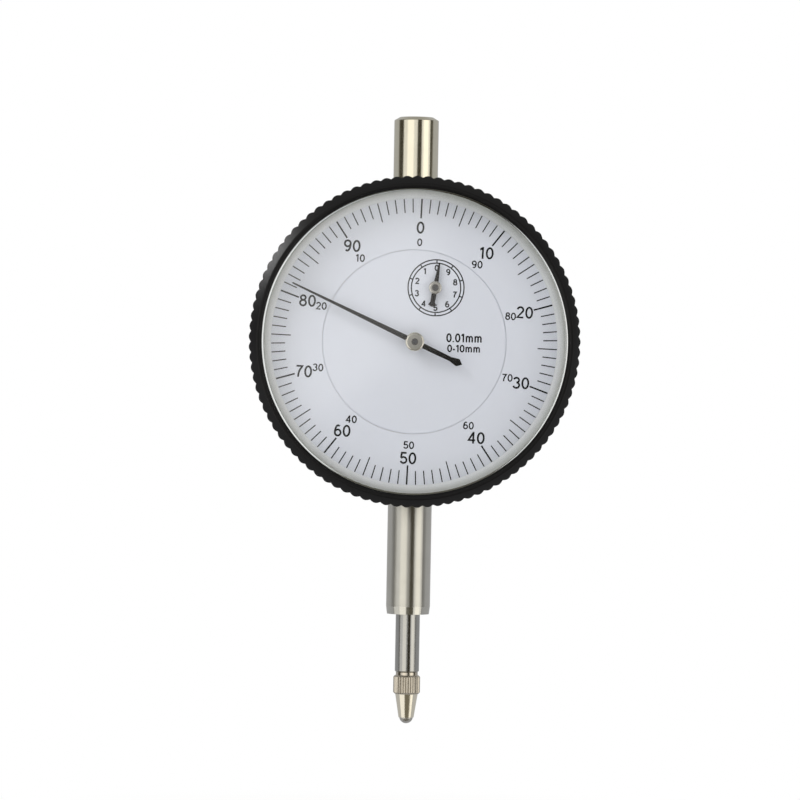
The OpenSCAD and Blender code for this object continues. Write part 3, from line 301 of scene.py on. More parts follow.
LEFT_CORNERS = [
    (4.8, 2.5), (4.8, 31), (-66, 31), (-70, 4), (-84, -10), (-84, -34), (-18, -34), (-9, -8),
]
flagged_box("left_box", (-38, 0), LEFT_CORNERS, BOX_RADIANCE, BOX_TINT)
soft_box("left_core", -31, -3, 0.62, 1.0, 0.45, CORE_TINT, distance=1.0)
soft_box("right_box", 50.5, 0, 0.97, 1.5, BOX_RADIANCE, BOX_TINT)
soft_box("right_core", 50, 0, 0.5, 1.0, 0.5, CORE_TINT, distance=1.05)
side_lamp = soft_box("side_lamp", -98, 32, 0.3, 0.3, 13, "#ffffff")
key_lamp = soft_box("key_lamp", -55, 42, 0.5, 0.5, 7.8, "#ffffff")
key_lamp.visible_glossy = False

# %% [markdown]
# ## Floor
# The tool hangs free in the photo, on white. A pale disc below it, out of the photo's frame, catches a soft
# shadow. Close to the tool it is plain diffuse white; further out it fades, for the camera, into the
# background. It stays out of reflections and keeps no light from the tool.

# %% Lay the floor
FLOOR_DROP_MM = 21
FLOOR_R_MM, FLOOR_CORNERS = 3000, 128
FADE_START_MM, FADE_END_MM = 40, 105
SHADOW_SHARE = 0.5


def bow(x, y, across, up, first, last, steps=20):
    """Part of an ellipse about (x, y), from one angle to another, in degrees anticlockwise from the right."""
    angles = [radians(first + (last - first) * k / steps) for k in range(steps + 1)]
    return [(x + across * cos(a), y + up * sin(a)) for a in angles]


paper = bare_material("matt_white_paper")
place = add_node(paper, "TexCoord").outputs["Object"]
reach = add_node(paper, "VectorMath", {0: place}, operation="LENGTH").outputs["Value"]
fade = add_node(paper, "MapRange", {
    "Value": reach, "From Min": FADE_START_MM * MM, "From Max": FADE_END_MM * MM,
    "To Min": 1 - SHADOW_SHARE,
}, interpolation_type="SMOOTHSTEP").outputs[0]
fade_seen = add_node(paper, "Math", {
    0: fade, 1: add_node(paper, "LightPath").outputs["Is Camera Ray"],
}, operation="MULTIPLY").outputs[0]
paper_shader = add_node(paper, "MixShader", {
    0: fade_seen,
    1: add_node(paper, "BsdfDiffuse", {"Color": colour("#f6f6f4")}).outputs[0],
    2: add_node(paper, "Emission", {"Color": colour("#ffffff"), "Strength": 1.0}).outputs[0],
})
add_node(paper, "OutputMaterial", {"Surface": paper_shader.outputs[0]})

rim = bow(0, 0, FLOOR_R_MM, FLOOR_R_MM, 0, 360, FLOOR_CORNERS)[:-1]
floor = new_object("floor", [Vector((*p, 0)) for p in rim], [range(FLOOR_CORNERS)], paper)
floor.location.z = cad_box[0].z - FLOOR_DROP_MM * MM
floor.visible_glossy = False
floor.visible_shadow = False
print(f"floor at z {floor.location.z / MM:.1f} mm")

# %% [markdown]
# ## Turning pieces
# Almost every outside piece of this tool comes off a lathe. One helper rounds the corners of an outline, a
# list of radius and height, because a real edge is never quite sharp and its round catches the light.
# Another spins the outline round an axis. Blender's Spin operator or a Screw modifier could do that too,
# but here a radius can change with the angle, as the lobed bezel and the knurled collar need.

# %% Round the corners
NEARLY_STRAIGHT = radians(88)
SIDE_SHARE = 0.4
ARC_STEPS = 3


def round_corners(outline, radius):
    """The closed outline with an arc at each corner, smaller where the sides are short."""
    rounded = []
    for i, corner in enumerate(outline):
        corner = Vector(corner)
        before, after = Vector(outline[i - 1]) - corner, Vector(outline[(i + 1) % len(outline)]) - corner
        half_turn = before.angle(after) / 2
        on_axis = corner.x == 0
        if on_axis or half_turn > NEARLY_STRAIGHT:
            rounded.append(tuple(corner))
            continue
        back_off = min(radius / tan(half_turn), before.length * SIDE_SHARE, after.length * SIDE_SHARE)
        arc_r = back_off * tan(half_turn)
        ways = before.normalized(), after.normalized()
        middle = corner + (ways[0] + ways[1]).normalized() * arc_r / sin(half_turn)
        first, last = (corner + way * back_off - middle for way in ways)
        for k in range(ARC_STEPS + 1):
            leg = first.lerp(last, k / ARC_STEPS).normalized() * arc_r
            rounded.append(tuple(middle + leg))
    return rounded


print("a rounded square has", len(round_corners([(1, 0), (2, 0), (2, 1), (1, 1)], 0.1)), "points")

# %% Spin an outline
def about_stem(r, height, angle):
    """A point on a ring round the stem's axis."""
    return Vector((r * sin(angle), -r * cos(angle), height))


def about_point(across, up):
    """A function for points on rings that face forwards, with the angle clockwise from the top."""
    def placed(r, forward, angle):
        return on_dial(across + r * sin(angle), up + r * cos(angle), forward)
    return placed


about_dial = about_point(0, 0)


def ring_faces(rings, count, closed=True):
    """Faces that join each ring of points to the next, and the last to the first if closed."""
    faces = []
    for i in range(rings if closed else rings - 1):
        ring, following = i * count, (i + 1) % rings * count
        for j in range(count):
            k = (j + 1) % count
            faces.append((ring + j, ring + k, following + k, following + j))
    return faces


def spin(outline, steps, place):
    """Points and faces of a closed outline spun all the way round."""
    points = [place(r, h, tau * i / steps) for i in range(steps) for r, h in outline]
    return points, ring_faces(steps, len(outline))


print("a triangle spun in four steps has", len(spin([(1, 0), (2, 0), (2, 1)], 4, about_dial)[1]), "faces")

# %% Make a piece
JOIN_MM = 1e-4


def make_piece(name, points, faces, material, slot, body=None, node=None, crease=35):
    """A smooth piece, from points in millimetres. It rides on a body and may stand for a node."""
    piece = new_object(name, points, faces, material)
    mesh = piece.data
    form = bmesh.new()
    form.from_mesh(mesh)
    bmesh.ops.remove_doubles(form, verts=form.verts, dist=JOIN_MM * MM)
    bmesh.ops.recalc_face_normals(form, faces=form.faces)
    form.to_mesh(mesh)
    form.free()
    mesh.shade_smooth()
    mesh.set_sharp_from_angle(angle=radians(crease))
    piece.modifiers.new("flat_sides_stay_flat", "WEIGHTED_NORMAL").keep_sharp = True
    if body:
        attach(piece, body)
    if node:
        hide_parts(node)
    print(f"{name}: {len(mesh.vertices)} points")
    return piece


# %% [markdown]
# ## Metals
# Most metal here is turned or ground: the tool leaves fine rings round the piece's axis, which show as a
# slight streak in the reflection. Noise that is stretched round the piece and squeezed along its axis gives
# those rings, both as bump and as a change of roughness. Real marks are a few hundredths of a millimetre
# apart, far below a pixel, so they are drawn coarser.

# %% Finishes from noise
NOISE_LOW, NOISE_HIGH = 0.3, 0.7


def shader_inputs(material):
    """Inputs of a material's Principled shader."""
    return material.node_tree.nodes["Principled BSDF"].inputs


def feed(material, key, socket):
    """Links an output to an input of the Principled shader."""
    link(material, socket, shader_inputs(material)[key])


def new_material(name, base, roughness, metallic=0.0, specular=0.5):
    """A material with its Principled shader set to plain values."""
    material = bpy.data.materials.new(name)
    material.use_nodes = True
    for key, value in (
        ("Base Color", colour(base)), ("Roughness", roughness),
        ("Metallic", metallic), ("Specular IOR Level", specular),
    ):
        shader_inputs(material)[key].default_value = value
    return material


def sized_noise(material, size_mm, detail=3):
    """Noise of a real size, which is given once or for each axis."""
    sizes = size_mm if isinstance(size_mm, tuple) else (size_mm,) * 3
    place = add_node(material, "TexCoord").outputs["Object"]
    mapped = add_node(material, "Mapping", {"Vector": place, "Scale": [1 / (s * MM) for s in sizes]})
    return add_node(material, "TexNoise", {
        "Vector": mapped.outputs[0], "Scale": 1.0, "Detail": detail,
    }).outputs["Fac"]


def vary_roughness(material, noise, low, high):
    """Roughness that follows a noise."""
    spread = add_node(material, "MapRange", {
        "Value": noise, "From Min": NOISE_LOW, "From Max": NOISE_HIGH, "To Min": low, "To Max": high,
    })
    feed(material, "Roughness", spread.outputs[0])


def vary_colour(material, noise, dark, light):
    """Base colour that follows a noise."""
    mixed = add_node(material, "Mix", {
        "Factor": noise, "A": colour(dark), "B": colour(light),
    }, data_type="RGBA")
    feed(material, "Base Color", mixed.outputs["Result"])


def uneven(name, base, roughness, size_mm, tones=None, spread=None, depth_mm=0, detail=3, **look):
    """A material whose tone, roughness and bump, where they are given, follow one noise."""
    material = new_material(name, base, roughness, **look)
    noise = sized_noise(material, size_mm, detail)
    if tones:
        vary_colour(material, noise, *tones)
    if spread:
        vary_roughness(material, noise, *spread)
    if depth_mm:
        bump = add_node(material, "Bump", {"Height": noise, "Distance": depth_mm * MM, "Strength": 1.0})
        feed(material, "Normal", bump.outputs[0])
    return material


# %% Turned and ground metals
ROUND_MM, CLOUD_MM = 60, 2.5
MARK_SPREAD = 0.06
QUARTER_TURN = 0.25


def ring_metal(name, dark, light, roughness, mark_mm, depth_mm, axis="z", streak=0.0):
    """Metal turned or ground round one axis: rings of tool marks and a slight cloudiness of tone."""
    marks = tuple(mark_mm if axis == a else ROUND_MM for a in "xyz")
    spread = roughness * (1 - MARK_SPREAD), roughness * (1 + MARK_SPREAD)
    material = uneven(name, light, roughness, marks, None, spread, depth_mm, metallic=1.0)
    vary_colour(material, sized_noise(material, CLOUD_MM), dark, light)
    if streak:
        shader_inputs(material)["Anisotropic"].default_value = streak
        shader_inputs(material)["Anisotropic Rotation"].default_value = QUARTER_TURN
        around = add_node(material, "Tangent", direction_type="RADIAL", axis=axis.upper())
        feed(material, "Tangent", around.outputs[0])
    return material


# Nickel plate over a polished turning: a clear, slightly yellow mirror
polished_nickel = ring_metal("polished_nickel_plate", "#d9d4c4", "#e3dfcf", 0.15, 0.5, 0.0002)
# Nickel plate over a ground turning: the same yellow white, with a blurred reflection
satin_nickel = ring_metal("satin_nickel_plate", "#c6c5bf", "#d2d1cb", 0.3, 0.6, 0.00003, streak=0.93)
# Hardened steel ground to size: a cooler grey with a tight streak
ground_steel = ring_metal("ground_tool_steel", "#a9a9a7", "#b7b7b5", 0.18, 0.6, 0.00003, streak=0.75)
# Nickel plate on the contact point: bright, and a little yellow
point_nickel = ring_metal("bright_nickel_plate", "#c2bbaf", "#cfc8bc", 0.17, 0.6, 0.00005)
# Hardened ball steel, dulled by work: a soft grey, darker than the plating round it
ball_steel = ring_metal("lapped_ball_steel", "#c0beba", "#cccac6", 0.32, 0.6, 0.0001)
# Spring steel polished for the ring round the crystal: a clear white line
polished_steel = ring_metal("polished_ring_steel", "#c3c8cd", "#cfd4d9", 0.12, 0.3, 0.0001, "y")
# Screws straight from the turning bar: bright grey
bright_steel = ring_metal("bright_turned_steel", "#a3a5a6", "#bcbebf", 0.24, 0.15, 0.001, "y")
# Pinions cut from hardened steel, darker than steel's own grey: painted shade in the hubs' sunk holes
pinion_steel = ring_metal("pinion_steel_painted_hole_shade", "#66676a", "#77787b", 0.3, 0.15, 0.0005, "y")
# Drawn spring wire: darker, with a slight blue from stress relief
spring_wire = ring_metal("drawn_spring_steel", "#74777c", "#8d9095", 0.28, 0.3, 0.0008)
# Bearing bronze: reddish gold, bored and reamed
bush_bronze = ring_metal("reamed_bearing_bronze", "#9a6c34", "#b8874a", 0.32, 0.2, 0.001)
print("ring-marked metals:", len(bpy.data.materials))

# %% [markdown]
# ## The stem's lead
# The stem is ground to size, and then its foot is turned to a slight cone, which helps it into a clamp. The
# cone keeps the clear mirror of the turning, so the roughness drops where the cone begins.

# %% Clear the stem's lead
STEM_LEAD_MM = 1.4
LEAD_ROUGHNESS = 0.2


def clear_below(material, height_mm, roughness):
    """Give the part of a piece below a height its own roughness, and return the split."""
    place = add_node(material, "SeparateXYZ", {0: add_node(material, "TexCoord").outputs["Object"]})
    split = add_node(material, "Math", {
        0: place.outputs["Z"], 1: height_mm * MM,
    }, operation="LESS_THAN").outputs[0]
    target = shader_inputs(material)["Roughness"]
    mixed = add_node(material, "Mix", {"Factor": split, "A": target.links[0].from_socket, "B": roughness})
    link(material, mixed.outputs[0], target)
    return split


lead_top = box_mm("stem")[0].z + STEM_LEAD_MM
clear_below(satin_nickel, lead_top, LEAD_ROUGHNESS)
print(f"the stem's lead ends at z {lead_top:.2f} mm")

# %% [markdown]
# ## Movement metals
# Plates and wheels of the gear train are rolled brass, drawn over emery in one direction, so their grain is
# straight. The hairspring is steel that was heated until its oxide turned blue. The bearings are synthetic
# ruby. All of it hides behind the dial, but the part may be opened or looked at in pieces.

# %% Brass, blued steel and ruby
GRAIN_MM, GRAIN_DEPTH_MM = (12, 12, 0.2), 0.001
GRAIN_DULL, GRAIN_BRIGHT = 1.3, 0.8


def grained_brass(name, dark, light, roughness):
    """Rolled brass drawn over emery: straight grain along X, soft gold sheen."""
    spread = roughness * GRAIN_BRIGHT, roughness * GRAIN_DULL
    return uneven(name, light, roughness, GRAIN_MM, (dark, light), spread, GRAIN_DEPTH_MM, metallic=1.0)


plate_brass = grained_brass("emery_grained_brass", "#b08d3f", "#cbab62", 0.34)
wheel_brass = grained_brass("stamped_gilt_brass", "#b98f35", "#d9b65e", 0.24)

# Oxide blue on hard steel: deep blue that shifts a little along the strip
blued_steel = uneven("heat_blued_steel", "#24386b", 0.22, 1.5, ("#1d2c58", "#34508f"), metallic=1.0)

# Corundum: a wet looking deep red with faint growth clouds
ruby = uneven("synthetic_ruby", "#a3142f", 0.06, 0.6, ("#8c0f28", "#b81c3a"))
shader_inputs(ruby)["IOR"].default_value = 1.77
print("materials so far:", len(bpy.data.materials))

# %% [markdown]
# ## Paints and plastics
# The case is a casting under stoved silver-grey enamel, with a faint orange peel. The dial is white
# lacquer, very slightly blue, matt enough to read in any light. The pointers are black lacquer, and the print
# is ink. A painted picture could give the mottle of each; noise of a real size does it at any distance.

# %% Enamel, lacquer and ink
# Enamel flows and draws tight as it bakes: soft gloss with shallow waves under a millimetre wide
silver_enamel = uneven(
    "stoved_silver_enamel", "#a9acaf", 0.38, 0.7, ("#9fa2a5", "#b1b4b7"), depth_mm=0.006, metallic=0.35,
)
vary_roughness(silver_enamel, sized_noise(silver_enamel, 4), 0.34, 0.44)

# Sprayed white lacquer: even, matt, with a mottle that is drawn coarser than its real grain
dial_lacquer = uneven(
    "matt_white_lacquer", "#dfe3ea", 0.5, 0.3, ("#dbdfe7", "#e3e7ed"), depth_mm=0.0008, specular=0.3,
)

# The ring under the crystal is moulded in pale grey styrene: smooth, less blue than the dial
grey_styrene = uneven("moulded_grey_styrene", "#dadddc", 0.45, 1.5, ("#d6d9d8", "#dee0df"), (0.4, 0.52))

# Black lacquer on the pointers' thin brass: deep and dull, so that a pointer reads against the white
black_lacquer = uneven("black_lacquer", "#0d0d0f", 0.5, 0.8, spread=(0.42, 0.58), specular=0.2)

# Printer's ink: dull blue black, thinner in places
dial_ink = uneven("pad_printed_ink", "#131417", 0.7, 0.4, ("#0e0f12", "#191b1f"), specular=0.2)
print("materials so far:", len(bpy.data.materials))

# %% [markdown]
# ## Anodising
# The bezel is black anodised aluminium, bead blasted first, so its gloss is broad and dim. The tops of the
# lobes, which fingers turn, are worn a little lighter, and the distance from the dial's axis tells where they
# are, so the wear needs no painting.

# %% Black anodised aluminium
def dial_radius(material):
    """Distance from the dial's axis."""
    place = add_node(material, "TexCoord").outputs["Object"]
    offset = add_node(material, "VectorMath", {0: place, 1: on_dial(0, 0, 0) * MM}, operation="SUBTRACT")
    across = add_node(material, "VectorMath", {0: offset.outputs[0], 1: (1, 0, 1)}, operation="MULTIPLY")
    return add_node(material, "VectorMath", {0: across.outputs[0]}, operation="LENGTH").outputs["Value"]


bezel_high = box_mm("bezel")[1]
BEZEL_R = bezel_high.x
WEAR_BAND_MM = 0.35

anodised = uneven(
    "black_anodised_aluminium", "#08080a", 0.34, 0.12, spread=(0.3, 0.4), depth_mm=0.003,
    detail=2, specular=0.25,
)
wear = add_node(anodised, "MapRange", {
    "Value": dial_radius(anodised), "From Min": (BEZEL_R - WEAR_BAND_MM) * MM, "From Max": BEZEL_R * MM,
}, interpolation_type="SMOOTHSTEP")
vary_colour(anodised, wear.outputs[0], "#08080a", "#131314")
print(f"bezel wear starts at radius {BEZEL_R - WEAR_BAND_MM:.2f} mm")

# %% [markdown]
# ## Crystal
# The window is a thin dome of cast acrylic. It hardly tints or bends what lies a few millimetres behind it,
# so a full refraction shader would only add noise. A clear shader mixed with a soft gloss by Fresnel keeps
# what the eye sees: the dial, and a pale veil where the dome shows the left box. The outer skin carries the
# reflections of both, with a little more than acrylic's index of 1.49, to match the photo's veil. Towards the
# edge the clear colour is darkened, which paints shade on the ring under it.

# %% Cast acrylic
ACRYLIC_IOR = 1.57
SKINS = 2.0
HAZE_MM, BLUR_LOW, BLUR_HIGH = 6, 0.12, 0.18
EDGE_START_R, EDGE_END_R = 25.9, 27.4

acrylic = bare_material("cast_acrylic")
gloss_blur = add_node(acrylic, "MapRange", {
    "Value": sized_noise(acrylic, HAZE_MM), "To Min": BLUR_LOW, "To Max": BLUR_HIGH,
}).outputs[0]
# Painted shade: the crystal's clear colour darkens towards its edge, so the ring seen under the edge looks
# shaded near the bezel
edge_shade = add_node(acrylic, "MapRange", {
    "Value": dial_radius(acrylic), "From Min": EDGE_START_R * MM, "From Max": EDGE_END_R * MM,
}, interpolation_type="SMOOTHSTEP").outputs[0]
painted_shade_tint = add_node(acrylic, "Mix", {
    "Factor": edge_shade, "A": colour("#fbfbfc"), "B": colour("#e9e9e7"),
}, data_type="RGBA").outputs["Result"]
front_only = add_node(acrylic, "Math", {
    0: 1.0, 1: add_node(acrylic, "NewGeometry").outputs["Backfacing"],
}, operation="SUBTRACT").outputs[0]
one_skin = add_node(acrylic, "Fresnel", {"IOR": ACRYLIC_IOR}).outputs[0]
both_skins = add_node(acrylic, "Math", {
    0: one_skin, 1: SKINS,
}, operation="MULTIPLY", use_clamp=True).outputs[0]
gloss_share = add_node(acrylic, "Math", {0: both_skins, 1: front_only}, operation="MULTIPLY").outputs[0]
acrylic_shader = add_node(acrylic, "MixShader", {
    0: gloss_share,
    1: add_node(acrylic, "BsdfTransparent", {"Color": painted_shade_tint}).outputs[0],
    2: add_node(acrylic, "BsdfGlossy", {"Roughness": gloss_blur}).outputs[0],
})
add_node(acrylic, "OutputMaterial", {"Surface": acrylic_shader.outputs[0]})
print("acrylic refracts at", ACRYLIC_IOR)

# %% [markdown]
# ## Hubs
# Each pointer sits on a small nickel hub. Its flat top is frosted, and the round edge is left polished, so
# the edge lights up as two crescents. The way a face points tells the two apart, also while the hub turns,
# because it turns about the axis that its top faces along.

# %% Frosted nickel
TOP_START, TOP_FULL = -0.98, -0.999
RIM_ROUGHNESS, TOP_ROUGHNESS = 0.1, 0.45
FROST_MM, FROST_DEPTH_MM = 0.12, 0.002


def frosted_nickel(name, top_colour, rim_colour):
    """Nickel that is frosted on the flat top that faces forwards, and polished elsewhere."""
    material = uneven(name, top_colour, TOP_ROUGHNESS, FROST_MM, depth_mm=FROST_DEPTH_MM, metallic=1.0)
    facing = add_node(material, "SeparateXYZ", {0: add_node(material, "NewGeometry").outputs["True Normal"]})
    on_top = add_node(material, "MapRange", {
        "Value": facing.outputs["Y"], "From Min": TOP_START, "From Max": TOP_FULL,
    }).outputs[0]
    dull_top = add_node(material, "MapRange", {
        "Value": on_top, "To Min": RIM_ROUGHNESS, "To Max": TOP_ROUGHNESS,
    })
    feed(material, "Roughness", dull_top.outputs[0])
    vary_colour(material, on_top, rim_colour, top_colour)
    return material


main_hub_nickel = frosted_nickel("frosted_nickel_main", "#c4c3bc", "#ebe7da")
small_hub_nickel = frosted_nickel("frosted_nickel_small", "#c9c8c3", "#e6e4dd")
print("hub finishes:", main_hub_nickel.name, small_hub_nickel.name)

# %% [markdown]
# ## Finishes for the CAD nodes
# Each CAD node came in with a plain material that is named after its slot in the record. The new finishes
# go into the same material slots, so the meshes stay untouched.

# %% Give every node its finish
FINISHES = {
    "case_paint": silver_enamel, "screw_steel": bright_steel, "stem_steel": satin_nickel,
    "bush_bronze": bush_bronze, "cap_nickel": polished_nickel, "spring_steel": spring_wire,
    "plate_brass": plate_brass, "blued_steel": blued_steel, "jewel_ruby": ruby, "dial_white": dial_lacquer,
    "spindle_steel": ground_steel, "contact_nickel": point_nickel, "ball_steel": ball_steel,
    "pinion_steel": pinion_steel, "wheel_brass": wheel_brass, "pointer_black": black_lacquer,
    "hub_nickel": main_hub_nickel, "bezel_black": anodised, "crystal_clear": acrylic,
    "slope_grey": grey_styrene,
}
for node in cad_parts.values():
    for held in node.material_slots:
        held.material = FINISHES[held.material.name.split(".")[0]]
print("finished", len(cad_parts), "nodes with", len(FINISHES), "finishes")

# %% [markdown]
# ## Case edges
# A casting's edges are broken by hand before it is painted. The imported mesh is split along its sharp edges,
# so a Weld modifier joins it first, and then a Bevel modifier rounds what is sharper than a set angle.

# %% Break the case's edges
EDGE_BREAK_MM, EDGE_PARTS = 0.15, 2
WELD_MM = 1e-3
SHARP_FROM = radians(40)

for name in ("case", "back_cover"):
    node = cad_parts[name]
    node.modifiers.new("join", "WELD").merge_threshold = WELD_MM * MM
    edge = node.modifiers.new("edge_break", "BEVEL")
    edge.width = EDGE_BREAK_MM * MM
    edge.segments = EDGE_PARTS
    edge.limit_method = "ANGLE"
    edge.angle_limit = SHARP_FROM
    edge.harden_normals = True
    print(name, "edges broken by", EDGE_BREAK_MM, "mm")

# %% [markdown]
# ## Bezel
# The bezel turns the dial to zero. Its rim is scalloped into 97 small lobes for grip, with a sharp valley
# between each two, and a sloped ring leads from them to the lip over the crystal. The outline is spun with
# many steps, and each ring's radius is cut back by the lobes where they are smaller.

# %% Turn the bezel
LOBES = 97
LOBE_DEPTH = 0.36
LOBE_STEPS = 12
RING_W = 2.3
BEVEL_W, BEVEL_H, BEVEL_PARTS, LOBED_PARTS = 1.4, 1.6, 12, 4
BEZEL_CHAMFER = 0.4
BEZEL_ROUND = 0.15
LIP_T = 1.4
BEZEL_WALL = 1.7
WIRE_ROOM_R, WIRE_ROOM_W = 0.05, 0.1

bezel_low = box_mm("bezel")[0]
BEZEL_BACK_W, BEZEL_FRONT_W = -bezel_high.y, -bezel_low.y
LIP_R = BEZEL_R - RING_W
BORE_R = BEZEL_R - BEZEL_WALL
LIP_W = BEZEL_FRONT_W - LIP_T
wire_low, wire_high = box_mm("bezel_wire")
WIRE_W, WIRE_D = -(wire_low.y + wire_high.y) / 2, wire_high.y - wire_low.y
GROOVE_R = wire_high.x + WIRE_ROOM_R
GROOVE_HALF = WIRE_D / 2 + WIRE_ROOM_W


def gripped(place, top_r, depth, ridges):
    """The same function for points, but no further out than the round ridges of a grip."""
    def placed(r, along, angle):
        ridge_r = top_r - depth * (1 - abs(cos(ridges * angle / 2)))
        return place(min(r, ridge_r), along, angle)
    return placed


slope_points = [
    (BEZEL_R - BEVEL_W * k / BEVEL_PARTS, BEZEL_FRONT_W - BEVEL_H + BEVEL_H * k / BEVEL_PARTS)
    for k in range(1, LOBED_PARTS + 1)
]
bezel_outline = [
    (BORE_R, BEZEL_BACK_W), (BEZEL_R - BEZEL_CHAMFER, BEZEL_BACK_W), (BEZEL_R, BEZEL_BACK_W + BEZEL_CHAMFER),
    (BEZEL_R, BEZEL_FRONT_W - BEVEL_H), *slope_points, (BEZEL_R - BEVEL_W, BEZEL_FRONT_W),
    (LIP_R + BEZEL_CHAMFER, BEZEL_FRONT_W), (LIP_R, BEZEL_FRONT_W - BEZEL_CHAMFER), (LIP_R, LIP_W),
    (BORE_R, LIP_W), (BORE_R, WIRE_W + GROOVE_HALF), (GROOVE_R, WIRE_W + GROOVE_HALF),
    (GROOVE_R, WIRE_W - GROOVE_HALF), (BORE_R, WIRE_W - GROOVE_HALF),
]
scalloped = gripped(about_dial, BEZEL_R, LOBE_DEPTH, LOBES)
lobed_bezel = make_piece(
    "lobed_bezel", *spin(round_corners(bezel_outline, BEZEL_ROUND), LOBES * LOBE_STEPS, scalloped),
    anodised, "bezel_black", "bezel", "bezel",
)
# The small side lamp only picks out the bezel's slope, so it is linked to the bezel alone
rim_lit = bpy.data.collections.new("rim_lit")
rim_lit.objects.link(lobed_bezel)
side_lamp.light_linking.receiver_collection = rim_lit

# %% [markdown]
# ## Dome
# The crystal is spun from its own outline: a rim that the lip holds down, a short straight edge, and the
# dome, whose curve follows from its width and rise. A cut sphere would give the dome too, but not the rim.

# %% Turn the crystal
DOME_RISE = 1.8
DOME_T = 1.2
DOME_STEPS, RING_STEPS = 32, 256
DOME_CLEARANCE = 0.1
DOME_R = LIP_R - DOME_CLEARANCE

crystal_low, crystal_high = box_mm("crystal")
CRYSTAL_R = crystal_high.x
CRYSTAL_BACK_W, CRYSTAL_TOP_W = -crystal_high.y, -crystal_low.y
CRYSTAL_INNER_R = 26.35
dome_curve = (DOME_R ** 2 + DOME_RISE ** 2) / (2 * DOME_RISE)


def dome_line(edge_r, curve):
    """The dome's section from its middle to its edge."""
    steps = [edge_r * k / DOME_STEPS for k in range(DOME_STEPS + 1)]
    return [(r, CRYSTAL_TOP_W - dome_curve + sqrt(curve ** 2 - r ** 2)) for r in steps]


crystal_outline = dome_line(DOME_R, dome_curve) + [
    (DOME_R, LIP_W), (CRYSTAL_R, LIP_W), (CRYSTAL_R, CRYSTAL_BACK_W), (CRYSTAL_INNER_R, CRYSTAL_BACK_W),
] + dome_line(CRYSTAL_INNER_R, dome_curve - DOME_T)[::-1]
make_piece(
    "domed_crystal", *spin(crystal_outline, RING_STEPS, about_dial),
    acrylic, "crystal_clear", "bezel", "crystal",
)

# %% [markdown]
# ## Tension ring
# A thin polished ring lies in the corner between dome and lip and keeps dirt out of it. It slopes outwards,
# so it catches the boxes at the dial's two sides as a fine bright line, and shows the dark room above and
# below. It is spun too, because a torus would have no such flat slope.

# %% Lay the tension ring
TENSION_BAND = 0.3
TENSION_SLOPE = radians(20)
TENSION_CLEARANCE = 0.02
TENSION_SUNK = 0.5
TENSION_ROUND = 0.03

out_r, out_w = LIP_R - TENSION_CLEARANCE, BEZEL_FRONT_W - BEZEL_CHAMFER
in_r, in_w = out_r - TENSION_BAND, out_w + TENSION_BAND * tan(TENSION_SLOPE)
back_w = LIP_W + TENSION_SUNK
tension_outline = [(out_r, back_w), (out_r, out_w), (in_r, in_w), (in_r, back_w)]
make_piece(
    "tension_ring", *spin(round_corners(tension_outline, TENSION_ROUND), RING_STEPS, about_dial),
    polished_steel, "hub_nickel", "bezel",
)

# %% [markdown]
# ## Cap
# The cap screws over the spindle's upper end and keeps dust out. It is a plain polished cylinder with a
# sloped top edge, and the small rounds at its corners draw the bright lines along them.

# %% Turn the cap
CAP_SLOPE_W, CAP_SLOPE_H = 1.0, 0.6
CAP_ROOF = 1.3
CAP_BORE_R = 3.22
CAP_ROUND, CAP_STEPS = 0.12, 128

cap_low, cap_high = box_mm("top_cap")
CAP_R = cap_high.x
cap_outline = [
    (CAP_BORE_R, cap_low.z), (CAP_R, cap_low.z), (CAP_R, cap_high.z - CAP_SLOPE_H),
    (CAP_R - CAP_SLOPE_W, cap_high.z), (0, cap_high.z), (0, cap_high.z - CAP_ROOF),
    (CAP_BORE_R, cap_high.z - CAP_ROOF),
]
make_piece(
    "polished_cap", *spin(round_corners(cap_outline, CAP_ROUND), CAP_STEPS, about_stem),
    polished_nickel, "cap_nickel", "case", "top_cap",
)

# %% [markdown]
# ## Contact point
# The contact point screws into the spindle. Fingers turn it by a knurled collar, and its cone holds a hard
# ball that touches the work. The knurl is rolled in, so its ridges are round and its valleys sharp.

# %% Turn the contact point
NECK_R, NECK_LEN = 2.0, 0.6
THREAD_R = 1.25
COLLAR_LEN, COLLAR_EDGE = 3.4, 0.3
RIDGES, RIDGE_DEPTH = 30, 0.18
RIDGE_STEPS = 10
CONE_TOP_R, CONE_END_R = 2.05, 1.375
SEAT_STEPS, SEAT_CLEARANCE = 10, 0.02
CONTACT_ROUND = 0.08

contact_low, contact_high = box_mm("contact_point")
ball_low, ball_high = box_mm("contact_ball")
COLLAR_R = contact_high.x
neck_top = box_mm("spindle")[0].z
collar_top = neck_top - NECK_LEN
collar_end = collar_top - COLLAR_LEN
seat_r = (ball_high.z - ball_low.z) / 2 + SEAT_CLEARANCE
seat_z = (ball_high.z + ball_low.z) / 2
seat_mouth = degrees(asin((contact_low.z - seat_z) / seat_r))
ball_seat = bow(0, seat_z, seat_r, seat_r, seat_mouth, 90, SEAT_STEPS)[:-1] + [(0, seat_z + seat_r)]
knurled = gripped(about_stem, COLLAR_R, RIDGE_DEPTH, RIDGES)
contact_outline = round_corners([
    (0, contact_high.z), (THREAD_R, contact_high.z), (THREAD_R, neck_top),
    (NECK_R, neck_top), (NECK_R, collar_top), (COLLAR_R - COLLAR_EDGE, collar_top),
    (COLLAR_R, collar_top - COLLAR_EDGE), (COLLAR_R, collar_end + COLLAR_EDGE),
    (COLLAR_R - COLLAR_EDGE, collar_end), (CONE_TOP_R, collar_end), (CONE_END_R, contact_low.z),
    *ball_seat,
], CONTACT_ROUND)
make_piece(
    "knurled_contact", *spin(contact_outline, RIDGES * RIDGE_STEPS, knurled),
    point_nickel, "contact_nickel", "spindle", "contact_point",
)

# %% [markdown]
# ## The contact's cone
# The cone below the collar has a lower roughness, so its reflections are sharper, and a lighter colour than
# the collar, which paints a brighter highlight on it.

# %% Brighten the cone
CONE_ROUGHNESS = 0.1
CONE_PAINTED_HIGHLIGHT_COLOUR = "#f4eede"

